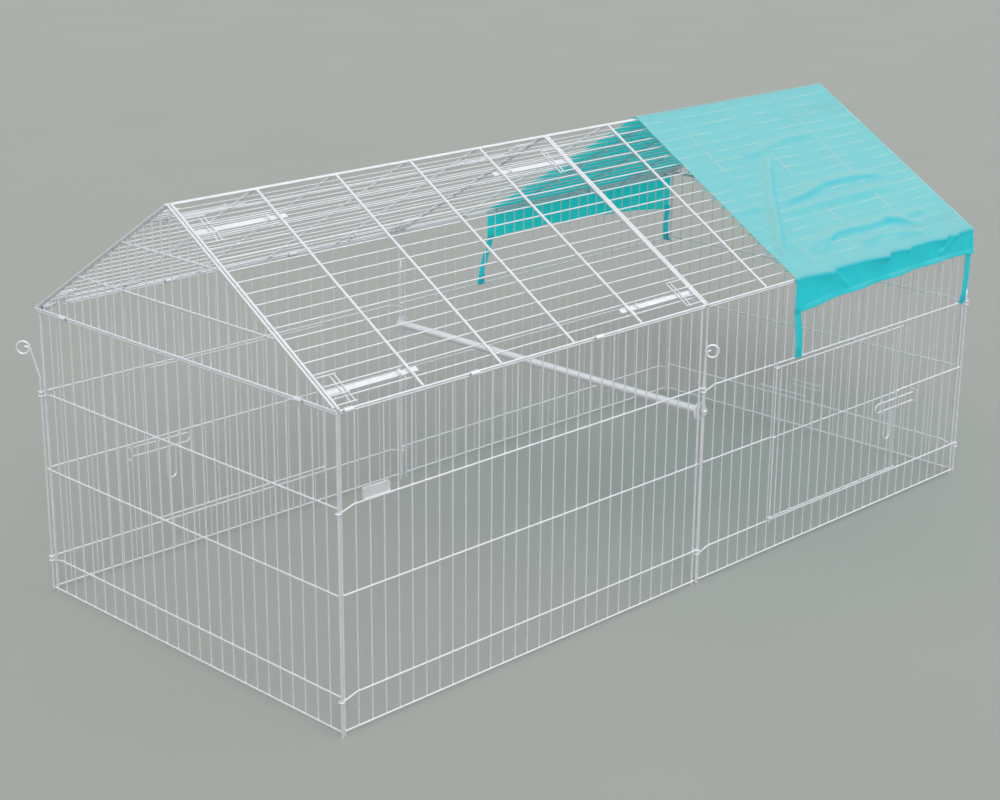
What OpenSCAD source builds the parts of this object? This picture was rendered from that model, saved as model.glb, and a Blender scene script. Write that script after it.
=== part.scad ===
// Folding wire run for poultry, with a hinged gable roof and a cloth sunshade.
// X runs along the ridge, the front long wall faces -Y and Z points up from the ground.

/* [Run] */
// Length between the corner pins
run_l = 2200; // [1900:10:2600]
// Width between the corner pins
run_w = 1020; // [900:10:1200]
// Height of the top rail's axis
top_rail_z = 678; // [640:1:760]
// Height of the rail that the straps hold
upper_rail_z = 487; // [450:1:540]
// Height of the rail behind the door latches
middle_rail_z = 304; // [280:1:340]
// Height of the rail under the doors
lower_rail_z = 88; // [60:1:120]
// Height of the ridge wires' tops
ridge_h = 1000; // [900:5:1100]
// How far the posts reach below the bottom rail
foot_h = 10; // [4:1:20]

/* [Wires] */
// Thickness of the upright wires in walls, gables and doors
mesh_d = 3; // [2:0.1:4]
// Thickness of the wall rails
rail_d = 4; // [3:0.1:5]
// Thickness of the posts and of the pins
post_d = 5; // [4:0.1:7]
// Thickness of the roof's edge wires and of the gable frames
edge_d = 5; // [4:0.1:7]
// Thickness of the bars that run up the roof
bar_d = 6; // [4:0.1:8]
// Thickness of the wires that run along the roof
roof_wire_d = 3.2; // [2.4:0.1:4.5]
// Gap at a weld between two crossing wires
weld_gap = 0.02; // [0.02:0.01:0.1]

/* [Mesh] */
// Gaps between the uprights of a long wall panel
long_gaps = 29; // [27:1:33]
// Gaps between the uprights of an end wall
end_gaps = 26; // [22:1:30]
// Gaps between the uprights of a gable, an even number
gable_gaps = 34; // [28:2:40]
// Gaps between the long wires of a roof panel
roof_gaps = 18; // [16:1:20]
// Bays between the bars of a roof panel
roof_bays = 5; // [4:1:6]

/* [Wall eyes and pins] */
// Clearance of a pin in an eye, on each side
eye_clear = 0.5; // [0.2:0.1:1]
// How far a rail's left end drops to its eye
eye_drop = 10; // [8:1:16]
// Where a rail starts to drop, from the pin
eye_bend_x = 40; // [30:1:44]
// Clearance between an eye and the next post
post_clear = 0.5; // [0.3:0.1:3]
// Height of a pin's lower end
pin_foot_z = 6; // [2:1:20]
// Heights where the left, middle and right front pins and the middle back pin lean out
pin_bend_zs = [522, 500, 494, 506]; // [490:1:560]
// Lean of the upper ends of the same pins in degrees
pin_leans = [15, 2, 10, 2]; // [1:1:30]
// Length of the leaning ends of the same pins
pin_lean_ls = [75, 75, 12, 75]; // [10:1:100]
// Radius of a pin's curl
curl_r = 14.5; // [12:0.5:20]
// Radius of the tail inside the curl
tail_r = 7; // [6:0.5:8]

/* [Doors] */
// Upright beside the hinge, counted from the panel's left post
door_first = 7; // [5:1:9]
// Upright that the door shuts against
door_last = 21; // [18:1:23]
// Thickness of the hinge wire
hinge_d = 4; // [3:0.1:5]
// Thickness of the door's rails
door_rail_d = 3.5; // [3:0.1:4]
// Distance from the wall's rails to the door's top and bottom rails
door_inset = 9; // [7:1:20]
// Clearance between the door's rails and the wall's rails
door_clear = 0.75; // [0.5:0.05:0.9]
// Clearance of the hinge wire in a door eye, on each side
hinge_clear = 0.4; // [0.2:0.1:0.8]
// Distance from the hinge to the door's first stile
stile_in = 14; // [12:1:25]
// How far the door's rails reach past the wire that it shuts against
door_lap = 8; // [4:1:12]

/* [Door latches] */
// Thickness of the latch wire
latch_d = 4; // [3:0.1:5]
// Distance between the two wires of a latch
latch_w = 22; // [16:1:30]
// Length of a latch
latch_l = 165; // [160:1:180]
// Depth of a latch's middle below the middle rail
latch_drop = 25; // [20:1:40]
// Clearance of a latch in its guides
latch_clear = 0.5; // [0.3:0.1:0.8]
// Distance from the drawn latch to its keeper
latch_back = 12; // [8:1:14]
// Width of the drop handle
handle_w = 25; // [22:1:28]
// Distance from the first guide to the handle's middle
handle_x = 26; // [20:1:30]
// Length of the drop handle
handle_l = 78; // [50:1:100]

/* [Roof] */
// Gap under the eave wires and the gables
seat_gap = 0.3; // [0.2:0.1:0.5]
// Gap between a roof panel and a gable
roof_clear = 0.5; // [0.3:0.1:2]
// Gap between the left and right roof panels
roof_split = 2; // [1:0.5:5]
// Gap between the front and back ridge wires
ridge_split = 1.4; // [0.6:0.2:3]
// Length of a sleeve clip
clip_l = 24; // [16:1:28]
// Thickness of a sleeve clip
clip_t = 1; // [0.8:0.1:1.5]
// Clearance of the wires in a sleeve clip
clip_clear = 0.3; // [0.2:0.1:0.5]
// Distance of the gable clips from the middle
gable_clip_y = 400; // [250:5:430]

/* [Roof bolts] */
// Width of a flat roof bolt
bolt_w = 12; // [8:1:16]
// Clearance above and below a roof bolt
bolt_clear = 0.3; // [0.2:0.1:0.5]
// Distance from the edge bar to the drawn bolt's tip
bolt_back = 3; // [2:1:8]
// How far a bolt's tail reaches past the first bar
bolt_tail = 23; // [20:1:40]
// Distance from the first bar to a bolt's finger tab
tab_in = 30; // [20:1:60]
// Thickness of a finger tab
tab_t = 3; // [2:0.5:5]
// Distance from the edge bar to a guide comb
comb_in = 38; // [30:1:60]
// Distance between the two wires of a guide comb
comb_w = 12; // [8:1:20]
// Length of a guide comb
comb_l = 80; // [74:1:88]

/* [Cross strut] */
// Height of the cross strut
strut_z = 430; // [350:1:450]
// Diameter of the cross strut
strut_d = 20; // [16:1:25]
// Wall of the cross strut
strut_t = 1.5; // [1:0.1:2]
// Diameter of a strut flange
flange_d = 44; // [36:1:60]
// Thickness of a strut flange
flange_t = 3; // [2:0.5:5]
// Diameter of a strut bolt
strut_bolt_d = 4; // [3:0.5:4]
// Diameter of a round clamp plate
clamp_d = 20; // [16:1:40]
// Thickness of a clamp plate
clamp_t = 2; // [1:0.5:4]

/* [Small pieces] */
// Distance of the name plate from the corner
plate_x = 64; // [20:1:400]
// Width of the name plate
plate_w = 70; // [40:1:100]
// Height of the name plate
plate_h = 24; // [16:1:40]
// Thickness of the name plate
plate_t = 1; // [0.8:0.1:1.5]
// Distance of the end bracket from the corner
bracket_x = 451; // [200:1:600]
// Length of the end bracket
bracket_l = 96; // [60:1:160]
// Height of the end bracket's lower wire
bracket_z = 130; // [120:1:160]
// Distance between the end bracket's wires
bracket_w = 14; // [8:1:20]
// Length of the stiffening wire below the bracket
stiffener_l = 165; // [120:1:300]
// Height of the stiffening wire above the lower rail
stiffener_up = 15; // [8:1:24]

/* [Sunshade] */
// Length of the sunshade along the ridge
shade_l = 768; // [500:1:1000]
// Gap between the sunshade and the gable's plane
shade_in = 5; // [4:1:40]
// Thickness of the cloth
shade_t = 1.2; // [0.8:0.1:2]
// Clearance of the cloth over the roof
shade_clear = 0.6; // [0.4:0.1:0.9]
// Clearance of the hanging edges outside the sleeve clips
valance_out = 0.6; // [0.4:0.1:5]
// Depth of the hanging edges
valance_h = 86; // [50:1:120]
// How far the hanging edges rise between the straps
hem_arch = 10; // [0:1:30]
// How much shallower the hanging edges are at the gable
hem_slant = 20; // [0:1:30]
// Depth of the folds in the hanging edges
wave_h = 6; // [0:0.5:10]
// Height of the creases on the slopes
crease_h = 5; // [0:0.5:10]
// Width of a tie strap
strap_w = 23; // [15:1:24]
// Thickness of a tie strap
strap_t = 1.2; // [0.8:0.1:1.6]
// Clearance of a strap's loop on its rail
strap_clear = 0.4; // [0.2:0.1:0.8]
// Clearance between a strap and its neighbours
strap_gap = 0.3; // [0.2:0.1:0.5]
// How far a strap reaches up behind the hanging edge
strap_lap = 37; // [20:1:50]

/* [Hidden] */

steel = "#C4C8CC";
cloth = "#3CBEC8";
wire_sides = 12;
round_fn = 48;

half_l = run_l / 2;
half_w = run_w / 2;

// Wall panels: rails lie in the plane of the pins, uprights and posts just inside it
bottom_rail_z = foot_h + rail_d / 2;
rail_zs = [bottom_rail_z, lower_rail_z, middle_rail_z, upper_rail_z, top_rail_z];
wall_top = top_rail_z + rail_d / 2;
upright_y = rail_d / 2 + weld_gap + mesh_d / 2;
post_y = rail_d / 2 + weld_gap + post_d / 2;
upright_face_y = upright_y - mesh_d / 2 - weld_gap;

// Eyes at the rail ends
eye_bore = post_d + 2 * eye_clear;
eye_r = (eye_bore + rail_d) / 2;
eye_wire_slim = 0.2;
shank_d = rail_d - eye_wire_slim;
shank_stub = 3;
post_in = eye_r + rail_d / 2 + post_clear + post_d / 2;
shank_end = post_in + post_d / 2;

// Curls of the pins
curl_turn = 310;
tail_turn = 150;
joint_turn = 2;
bend_swell = 0.4;
pin_headings = [135, -45, 45, 45];

// Doors hang on a wire outside the wall's rails
hinge_x = long_upright_x(door_first);
hinge_y = -(rail_d / 2 + door_clear + door_rail_d / 2);
hinge_over = 6;
door_shank_d = door_rail_d - eye_wire_slim;
door_eye_bore = hinge_d + 2 * hinge_clear;
door_eye_r = (door_eye_bore + door_rail_d) / 2;
door_eye_out = door_eye_r + door_rail_d / 2;
door_shank_l = 6;
door_rail_start = door_eye_out + door_shank_l;
door_end_x = long_upright_x(door_last) + door_lap;
door_stile_x = long_upright_x(door_last) - door_lap;
door_zs = [lower_rail_z + door_inset, middle_rail_z, upper_rail_z - door_inset];
door_upright_y = hinge_y - door_rail_d / 2 - weld_gap - mesh_d / 2;
door_face_y = door_upright_y - mesh_d / 2;

// Latches slide in wire guides on the door's face
latch_z = middle_rail_z - latch_drop;
latch_y = door_face_y - latch_clear - latch_d / 2;
guide_y = latch_y - latch_d / 2 - latch_clear - mesh_d / 2;
guide_dz = latch_w / 2 + latch_d / 2 + latch_clear + mesh_d / 2;
guide_x = long_upright_x(door_last - 2);
keeper_x = long_upright_x(door_last + 2);
latch_tip_x = keeper_x - mesh_d / 2 - latch_back;

// Roof: s runs up the slope from the eave wire, n stands out of it
eave_z = wall_top + seat_gap + edge_d / 2;
ridge_y = ridge_split / 2 + edge_d / 2;
ridge_z = ridge_h - edge_d / 2;
slope_a = atan2(ridge_z - eave_z, half_w - ridge_y);
slope_l = norm([ridge_z - eave_z, half_w - ridge_y]);
roof_far = half_l - edge_d / 2 - weld_gap - mesh_d - roof_clear - bar_d / 2;
roof_near = roof_split / 2 + bar_d / 2;
roof_bay = (roof_far - roof_near) / roof_bays;
roof_pitch = slope_l / roof_gaps;
roof_wire_n = -(bar_d + roof_wire_d) / 2 - weld_gap;

// Bolts lie among the long wires, one near the eave and one near the ridge
low_gap = 1;
high_gap = roof_gaps - 3;
bolt_top_n = -bar_d / 2 - bolt_clear;
bolt_t = roof_wire_d - 2 * bolt_clear;
comb_n = (mesh_d - bar_d) / 2;
rung_n = comb_n + mesh_d + weld_gap;
rung_count = 4;
under_n = roof_wire_n - roof_wire_d / 2 - weld_gap - mesh_d / 2;

// Sleeve clips go round an eave wire and the rail under it
clip_bore = edge_d + seat_gap + rail_d + 2 * clip_clear;
clip_z = (eave_z + edge_d / 2 + top_rail_z - rail_d / 2) / 2;
clip_out = clip_bore / 2 + clip_t;
left_clip_gaps = [0, 9, 19];

// Gables stand on the end walls, uprights inside their frames
gable_upright_x = half_l - edge_d / 2 - weld_gap - mesh_d / 2;
gable_rise = half_w * tan(slope_a);
gable_pitch = run_w / gable_gaps;
cross_count = 2;

// The strut bolt passes beside the middle pins
strut_face_y = half_w - post_y - post_d / 2 - weld_gap;
strut_bolt_gap = 0.3;
strut_bolt_x = post_d / 2 + strut_bolt_gap + strut_bolt_d / 2;
strut_bolt_clear = 0.2;
clamp_y = half_w + post_d / 2 + strut_bolt_gap;
strut_bolt_in = 6;
bolt_head_d = 2 * strut_bolt_d;
bolt_head_t = 0.7 * strut_bolt_d;
hex_sides = 6;

// End bracket's stops stand a little past its wires
stop_extra = 2;

// Sunshade: rows run from the front hem over the ridge to the back hem.
// It lies on the highest of the bars, the guide combs and the sleeve clips
shade_x1 = half_l - shade_in;
shade_x0 = shade_x1 - shade_l;
clip_n = clip_out - (eave_z - clip_z) * cos(slope_a);
shade_n = max(bar_d / 2, rung_n + mesh_d / 2, clip_n) + shade_clear;
valance_y = half_w + clip_out + valance_out;
shade_top_s = (half_w + shade_n * sin(slope_a)) / cos(slope_a);
shade_fold_s = (half_w + shade_n * sin(slope_a) - valance_y) / cos(slope_a);
shade_fold_z = slope_point(shade_fold_s)[1];
shade_hem_z = shade_fold_z - valance_h;
fold_round = 6;
valance_rows = 4;
slope_rows = 9;
shade_columns = 21;
hem_waves = 4.5;

// Creases: place along the cover at the eave, drift towards the ridge, width and height,
// as shares of the cover's length and of the crease height
front_creases = [[0, 0.6, 0.06, 1], [0.62, -0.1, 0.06, 0.5]];
back_creases = [[0.2, 0.2, 0.06, 0.8], [0.7, -0.1, 0.06, 0.6]];

// Straps hang from the cover's ends to the nearest free stretch of rail
long_pitch = (half_l - 2 * post_in) / long_gaps;
strap_half = strap_w / 2;
strap_top_xs = [shade_x0 + strap_half, shade_x1 - strap_half];
beside_upright = mesh_d / 2 + strap_gap + strap_half;
beside_post = post_in + post_d / 2 + strap_gap + strap_half;
eye_tilt = atan2(eye_drop, eye_bend_x - eye_r);

// Place of upright i in a long wall panel, from its left pin
function long_upright_x(i) = post_in + i * (half_l - 2 * post_in) / long_gaps;

// Place just past the first upright after x, for a strap's foot
function strap_foot(x) = long_upright_x(ceil((x - post_in) / long_pitch)) + beside_upright;

// Place [y, z] of the cloth's underside on the front slope
function slope_point(s) = [
    -half_w + s * cos(slope_a) - shade_n * sin(slope_a),
    eave_z + s * sin(slope_a) + shade_n * cos(slope_a)
];

// Straight wire with flat sides along Z, measured across its flats
module wire_z(z0, z1, d) {
    translate([0, 0, z0])
        rotate(180 / wire_sides)
            cylinder(h = z1 - z0, d = d / cos(180 / wire_sides), $fn = wire_sides);
}

module wire_x(x0, x1, d) {
    rotate([0, 90, 0])
        wire_z(x0, x1, d);
}

module wire_y(y0, y1, d) {
    rotate([-90, 0, 0])
        wire_z(y0, y1, d);
}

// Round rod along Z, and along X
module rod_z(z0, z1, d) {
    translate([0, 0, z0])
        cylinder(h = z1 - z0, d = d, $fn = round_fn);
}

module rod_x(x0, x1, d) {
    rotate([0, 90, 0])
        rod_z(x0, x1, d);
}

// Round rod between two [x, z] places
module slant_rod(from, to, d) {
    way = to - from;
    translate([from[0], 0, from[1]])
        rotate([0, atan2(way[0], way[1]), 0])
            cylinder(h = norm(way), d = d, $fn = round_fn);
}

// Round wire bent along an arc in the XZ plane
module arc_rod(r, from, turn, d) {
    rotate([90, 0, 0])
        rotate(from)
            rotate_extrude(angle = turn, $fn = round_fn)
                translate([r, 0])
                    circle(d = d, $fn = round_fn);
}

// Closed eye of round wire on a vertical pin
module ring(bore, d) {
    rotate_extrude($fn = round_fn)
        translate([(bore + d) / 2, 0])
            circle(d = d, $fn = round_fn);
}

// Half turn about the middle of the run
module turned() {
    rotate(180)
        children();
}

module at_front_left() {
    translate([-half_l, -half_w, 0])
        children();
}

module at_front_right() {
    translate([0, -half_w, 0])
        children();
}

module at_right_end() {
    translate([half_l, -half_w, 0])
        rotate(90)
            children();
}

// Eye at the right end of a rail, level with it
module straight_eye() {
    ring(eye_bore, rail_d);
    rod_x(eye_r, shank_end, shank_d);
}

// Eye at the left end of a rail, dropped under its neighbour's
module dropped_eye() {
    translate([0, 0, -eye_drop])
        ring(eye_bore, rail_d);
    slant_rod([eye_r, -eye_drop], [eye_bend_x, 0], shank_d);
    translate([eye_bend_x, 0, 0])
        sphere(d = shank_d + eye_wire_slim, $fn = round_fn);
    rod_x(eye_bend_x, eye_bend_x + shank_stub, shank_d);
}

// Posts of a wall panel. A post on the pin line takes the next panel's eyes
module posts(span, post_on_pin) {
    translate([post_in, post_y, 0])
        wire_z(0, wall_top, post_d);
    if (post_on_pin)
        translate([span, 0, 0])
            rod_z(0, wall_top, post_d);
    else
        translate([span - post_in, post_y, 0])
            wire_z(0, wall_top, post_d);
}

// Rails of a wall panel. The middle rail stops at both sides of a doorway
module rails(span, post_on_pin, doorway) {
    plain_end = post_on_pin ? span - post_d / 2 - weld_gap : span - post_in + post_d / 2;
    eyed_end = post_on_pin ? plain_end : span - shank_end - weld_gap;
    for (k = [0 : len(rail_zs) - 1]) {
        eyed = k % 2 == 1;
        start = eyed ? eye_bend_x + shank_stub + weld_gap : post_in - post_d / 2;
        end = eyed ? eyed_end : plain_end;
        translate([0, 0, rail_zs[k]]) {
            if (doorway && rail_zs[k] == middle_rail_z) {
                wire_x(start, hinge_x - door_eye_out - post_clear, rail_d);
                wire_x(long_upright_x(door_last) - mesh_d / 2, end, rail_d);
            } else {
                wire_x(start, end, rail_d);
            }
            if (eyed)
                dropped_eye();
            if (eyed && !post_on_pin)
                translate([span, 0, 0])
                    rotate(180)
                        straight_eye();
        }
    }
}

// Uprights of a wall panel. Those across a doorway stop at the rails above and below it
module uprights(span, gaps, post_on_pin, doorway) {
    last_x = post_on_pin ? span : span - post_in;
    low = bottom_rail_z - rail_d / 2;
    for (i = [1 : gaps - 1])
        translate([post_in + i * (last_x - post_in) / gaps, upright_y, 0])
            if (doorway && i > door_first && i < door_last) {
                wire_z(low, lower_rail_z + rail_d / 2, mesh_d);
                wire_z(upper_rail_z - rail_d / 2, wall_top, mesh_d);
            } else {
                wire_z(low, wall_top, mesh_d);
            }
}

// Welded wall panel, seen from outside with its left pin at the origin
module wall_panel(span, gaps, post_on_pin = false, doorway = false) {
    posts(span, post_on_pin);
    rails(span, post_on_pin, doorway);
    uprights(span, gaps, post_on_pin, doorway);
}

// Loop of wire that a latch slides through, standing off a wire whose face is at back_y
module latch_loop(back_y) {
    translate([0, guide_y, latch_z])
        wire_z(-guide_dz - mesh_d / 2, guide_dz + mesh_d / 2, mesh_d);
    for (side = [-1, 1])
        translate([0, 0, latch_z + side * guide_dz])
            wire_y(guide_y + mesh_d / 2 + weld_gap, back_y - weld_gap, mesh_d);
}

// Wall panel with a doorway, the hinge wire and the latch's keeper
module door_wall() {
    wall_panel(half_l, long_gaps, doorway = true);
    translate([hinge_x, hinge_y, 0])
        rod_z(lower_rail_z - hinge_over, upper_rail_z + hinge_over, hinge_d);
    translate([keeper_x, 0, 0])
        latch_loop(upright_y - mesh_d / 2);
}

module wall_front_left() {
    color(steel)
        at_front_left()
            wall_panel(half_l, long_gaps);
}

module wall_front_right() {
    color(steel)
        at_front_right()
            door_wall();
}

module wall_right_end() {
    color(steel)
        at_right_end()
            wall_panel(run_w, end_gaps, post_on_pin = true);
}

module wall_back_right() {
    turned()
        wall_front_left();
}

module wall_back_left() {
    turned()
        wall_front_right();
}

module wall_left_end() {
    turned()
        wall_right_end();
}

// Door on the outside of its wall, with eyes round the hinge wire
module door_front() {
    color(steel)
        at_front_right() {
            for (z = door_zs)
                translate([hinge_x, hinge_y, z]) {
                    ring(door_eye_bore, door_rail_d);
                    rod_x(door_eye_r, door_rail_start, door_shank_d);
                    wire_x(door_rail_start + weld_gap, door_end_x - hinge_x, door_rail_d);
                }
            for (x = concat(
                hinge_x + stile_in,
                [for (i = [door_first + 1 : door_last - 1]) long_upright_x(i)],
                door_stile_x
            ))
                translate([x, door_upright_y, 0])
                    wire_z(door_zs[0] - door_rail_d / 2, door_zs[2] + door_rail_d / 2, mesh_d);
            for (x = [guide_x, door_stile_x])
                translate([x, 0, 0])
                    latch_loop(door_face_y);
        }
}

module door_back() {
    turned()
        door_front();
}

// Hairpin latch with a drop handle, drawn back from its keeper
module latch_front() {
    bow_x = latch_tip_x - latch_l + latch_w / 2;
    grip_z = latch_z - latch_w / 2 - latch_d / 2 - weld_gap;
    bow_z = grip_z - handle_l + handle_w / 2;
    color(steel)
        at_front_right()
            translate([0, latch_y, 0]) {
                for (side = [-1, 1])
                    translate([0, 0, latch_z + side * latch_w / 2])
                        wire_x(bow_x + weld_gap, latch_tip_x, latch_d);
                translate([bow_x, 0, latch_z])
                    arc_rod(latch_w / 2, 90, 180, latch_d);
                translate([guide_x + handle_x, 0, 0]) {
                    for (side = [-1, 1])
                        translate([side * handle_w / 2, 0, 0])
                            wire_z(bow_z + weld_gap, grip_z, latch_d);
                    translate([0, 0, bow_z])
                        arc_rod(handle_w / 2, 180, 180, latch_d);
                }
            }
}

module latch_back() {
    turned()
        latch_front();
}

// Gable frame and uprights on the right end wall
module gable_right() {
    foot_s = edge_d / 2 * (1 + cos(slope_a)) / sin(slope_a) + weld_gap / sin(slope_a);
    head_s = (half_w - edge_d / 2 * sin(slope_a) - weld_gap) / cos(slope_a);
    last = gable_gaps / 2 - 1;
    color(steel) {
        translate([half_l, 0, eave_z])
            wire_y(-half_w, half_w, edge_d);
        for (side = [0, 180])
            translate([half_l, 0, 0])
                rotate(side)
                    translate([0, -half_w, eave_z])
                        rotate([slope_a, 0, 0])
                            wire_y(foot_s, head_s, edge_d);
        for (k = [1 : cross_count]) {
            up = k * gable_rise / (cross_count + 1);
            reach = half_w - (up + rail_d / 2) / tan(slope_a)
                - (edge_d / 2 + weld_gap) / sin(slope_a);
            translate([half_l, 0, eave_z + up])
                wire_y(-reach, reach, rail_d);
        }
        for (k = [-last : last])
            translate([gable_upright_x, k * gable_pitch, eave_z])
                wire_z(-edge_d / 2, gable_rise - abs(k) * gable_pitch * tan(slope_a), mesh_d);
    }
}

module gable_left() {
    turned()
        gable_right();
}

// Front slope, with X along the eave, Y up the slope and Z out of it
module on_slope() {
    translate([0, -half_w, eave_z])
        rotate([slope_a, 0, 0])
            children();
}

// Middle of a gap between long wires, at an edge bar, with X into the panel
module at_bolt(edge_x, gap) {
    translate([edge_x, (gap + 0.5) * roof_pitch, 0])
        rotate(edge_x == -roof_far || edge_x == roof_near ? 0 : 180)
            children();
}

// Comb of short wires over a bolt, and two wires under it
module bolt_guide() {
    reach = comb_in + comb_w + mesh_d / 2;
    rung_span = comb_l - 2 * mesh_d;
    for (x = [comb_in, comb_in + comb_w])
        translate([x, 0, comb_n])
            wire_y(-comb_l / 2, comb_l / 2, mesh_d);
    for (k = [0 : rung_count - 1])
        translate([0, k * rung_span / (rung_count - 1) - rung_span / 2, rung_n])
            wire_x(bar_d / 2 + weld_gap, reach, mesh_d);
    for (x = [comb_in + comb_w / 2, roof_bay - tab_in / 2])
        translate([x, 0, under_n])
            wire_y(-(roof_pitch + roof_wire_d) / 2, (roof_pitch + roof_wire_d) / 2, mesh_d);
}

// Roof panel between two edge bars, with bolt guides at the edges listed
module roof_panel(x0, x1, guided) {
    color(steel)
        on_slope() {
            rod_x(x0 - bar_d / 2, x1 + bar_d / 2, edge_d);
            translate([0, slope_l, 0])
                wire_x(x0 - bar_d / 2, x1 + bar_d / 2, edge_d);
            for (i = [0 : roof_bays])
                translate([x0 + i * roof_bay, 0, 0])
                    wire_y(edge_d / 2 + weld_gap, slope_l - edge_d / 2 - weld_gap, bar_d);
            for (k = [1 : roof_gaps - 1])
                translate([0, k * roof_pitch, roof_wire_n])
                    wire_x(x0 - bar_d / 2, x1 + bar_d / 2, roof_wire_d);
            for (edge_x = guided, gap = [low_gap, high_gap])
                at_bolt(edge_x, gap)
                    bolt_guide();
        }
}

module roof_front_left() {
    roof_panel(-roof_far, -roof_near, [-roof_far, -roof_near]);
}

module roof_front_right() {
    roof_panel(roof_near, roof_far, [roof_far]);
}

module roof_back_left() {
    turned()
        roof_panel(roof_near, roof_far, [roof_near, roof_far]);
}

module roof_back_right() {
    turned()
        roof_panel(-roof_far, -roof_near, [-roof_far]);
}

// Flat bolt with a finger tab, drawn back inside its panel's edge bar
module roof_bolt(edge_x, gap) {
    color(steel)
        on_slope()
            at_bolt(edge_x, gap) {
                translate([bolt_back, -bolt_w / 2, bolt_top_n - bolt_t])
                    cube([roof_bay + bolt_tail - bolt_back, bolt_w, bolt_t]);
                translate([roof_bay - tab_in, -bolt_w / 2, bolt_top_n + weld_gap])
                    cube([tab_t, bolt_w, bar_d]);
            }
}

// Rod with a curled head through the eyes of two wall panels, slightly swollen at its bends
module pin(which) {
    bend_z = pin_bend_zs[which];
    lean = pin_leans[which];
    bend = [0, bend_z];
    top = bend + pin_lean_ls[which] * [sin(lean), cos(lean)];
    middle = top + curl_r * [cos(lean), -sin(lean)];
    last = 180 - lean - curl_turn;
    turn_end = middle + curl_r * [cos(last), sin(last)];
    tail = middle + (curl_r - tail_r) * [cos(last), sin(last)];
    color(steel)
        rotate(pin_headings[which]) {
            rod_z(pin_foot_z, bend_z, post_d);
            slant_rod(bend, top, post_d);
            for (joint = [bend, top, turn_end])
                translate([joint[0], 0, joint[1]])
                    sphere(d = post_d + bend_swell, $fn = round_fn);
            translate([middle[0], 0, middle[1]])
                arc_rod(curl_r, last, curl_turn - joint_turn, post_d);
            translate([tail[0], 0, tail[1]])
                arc_rod(tail_r, last - tail_turn, tail_turn - joint_turn, post_d);
        }
}

module pin_left_corner() {
    translate([-half_l, half_w, 0])
        pin(0);
}

module pin_front_middle() {
    translate([0, -half_w, 0])
        pin(1);
}

module pin_right_corner() {
    translate([half_l, -half_w, 0])
        pin(2);
}

module pin_back_middle() {
    translate([0, half_w, 0])
        pin(3);
}

// Cylinder along Y at the strut's height
module strut_rod(x, y0, y1, d, sides = round_fn) {
    translate([x, 0, strut_z])
        rotate([-90, 0, 0])
            translate([0, 0, y0])
                cylinder(h = y1 - y0, d = d, $fn = sides);
}

// Clearance hole for a strut bolt
module strut_bolt_hole(y0, y1) {
    strut_rod(strut_bolt_x, y0, y1, strut_bolt_d + 2 * strut_bolt_clear);
}

// Tube with a flange welded to each end
module cross_strut() {
    tube_y = strut_face_y - flange_t - weld_gap;
    color(steel) {
        difference() {
            strut_rod(0, -tube_y, tube_y, strut_d);
            strut_rod(0, -strut_face_y, strut_face_y, strut_d - 2 * strut_t);
        }
        for (side = [0, 180])
            rotate(side)
                difference() {
                    strut_rod(0, -strut_face_y, -strut_face_y + flange_t, flange_d);
                    strut_bolt_hole(-strut_face_y - flange_t, -strut_face_y + 2 * flange_t);
                }
    }
}

module strut_bolts() {
    head_y = -clamp_y - clamp_t - weld_gap;
    color(steel)
        for (side = [0, 180])
            rotate(side) {
                strut_rod(
                    strut_bolt_x, head_y - bolt_head_t / 2, -strut_face_y + flange_t + strut_bolt_in,
                    strut_bolt_d
                );
                strut_rod(strut_bolt_x, head_y - bolt_head_t, head_y, bolt_head_d, hex_sides);
            }
}

module strut_clamps() {
    color(steel)
        for (side = [0, 180])
            rotate(side)
                difference() {
                    strut_rod(strut_bolt_x / 2, -clamp_y - clamp_t, -clamp_y, clamp_d);
                    strut_bolt_hole(-clamp_y - 2 * clamp_t, -clamp_y + clamp_t);
                }
}

// Sleeve along X round an eave wire and the rail under it
module sleeve() {
    translate([-clip_l / 2, 0, clip_z])
        rotate([0, 90, 0])
            difference() {
                cylinder(h = clip_l, r = clip_out, $fn = round_fn);
                translate([0, 0, -clip_l / 2])
                    cylinder(h = 2 * clip_l, d = clip_bore, $fn = round_fn);
            }
}

// Each sleeve sits midway between two uprights
module eave_clips_front() {
    color(steel)
        for (gap = left_clip_gaps) {
            at_front_left()
                translate([long_upright_x(gap + 0.5), 0, 0])
                    sleeve();
            at_front_right()
                translate([long_upright_x(long_gaps - gap - 0.5), 0, 0])
                    sleeve();
        }
}

module eave_clips_back() {
    turned()
        eave_clips_front();
}

// Sleeves on the gables' feet, open to the inside so that they clear the uprights
module gable_clips() {
    color(steel)
        for (side = [0, 180], y = [-gable_clip_y, gable_clip_y])
            rotate(side)
                translate([half_l, y, 0])
                    rotate(90)
                        difference() {
                            sleeve();
                            translate([-clip_l, upright_face_y - weld_gap, clip_z - clip_out])
                                cube([2 * clip_l, clip_out, 2 * clip_out]);
                        }
}

module name_plate() {
    color(steel)
        at_front_left()
            translate([plate_x, upright_face_y - plate_t, upper_rail_z + rail_d / 2 + weld_gap])
                cube([plate_w, plate_t, plate_h]);
}

// Two short wires with end stops, and a stiffening wire under them
module end_bracket() {
    wire_plane_y = upright_face_y - mesh_d / 2;
    stop_y = wire_plane_y - mesh_d - weld_gap;
    stop_over = mesh_d / 2 + stop_extra;
    color(steel)
        at_right_end() {
            for (z = [bracket_z, bracket_z + bracket_w])
                translate([0, wire_plane_y, z])
                    wire_x(bracket_x, bracket_x + bracket_l, mesh_d);
            for (x = [bracket_x + mesh_d, bracket_x + bracket_l - mesh_d])
                translate([x, stop_y, bracket_z])
                    wire_z(-stop_over, bracket_w + stop_over, mesh_d);
            translate([0, upright_face_y - rail_d / 2, lower_rail_z + stiffener_up])
                wire_x(bracket_x + bracket_l / 2, bracket_x + bracket_l / 2 + stiffener_l, rail_d);
        }
}

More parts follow.
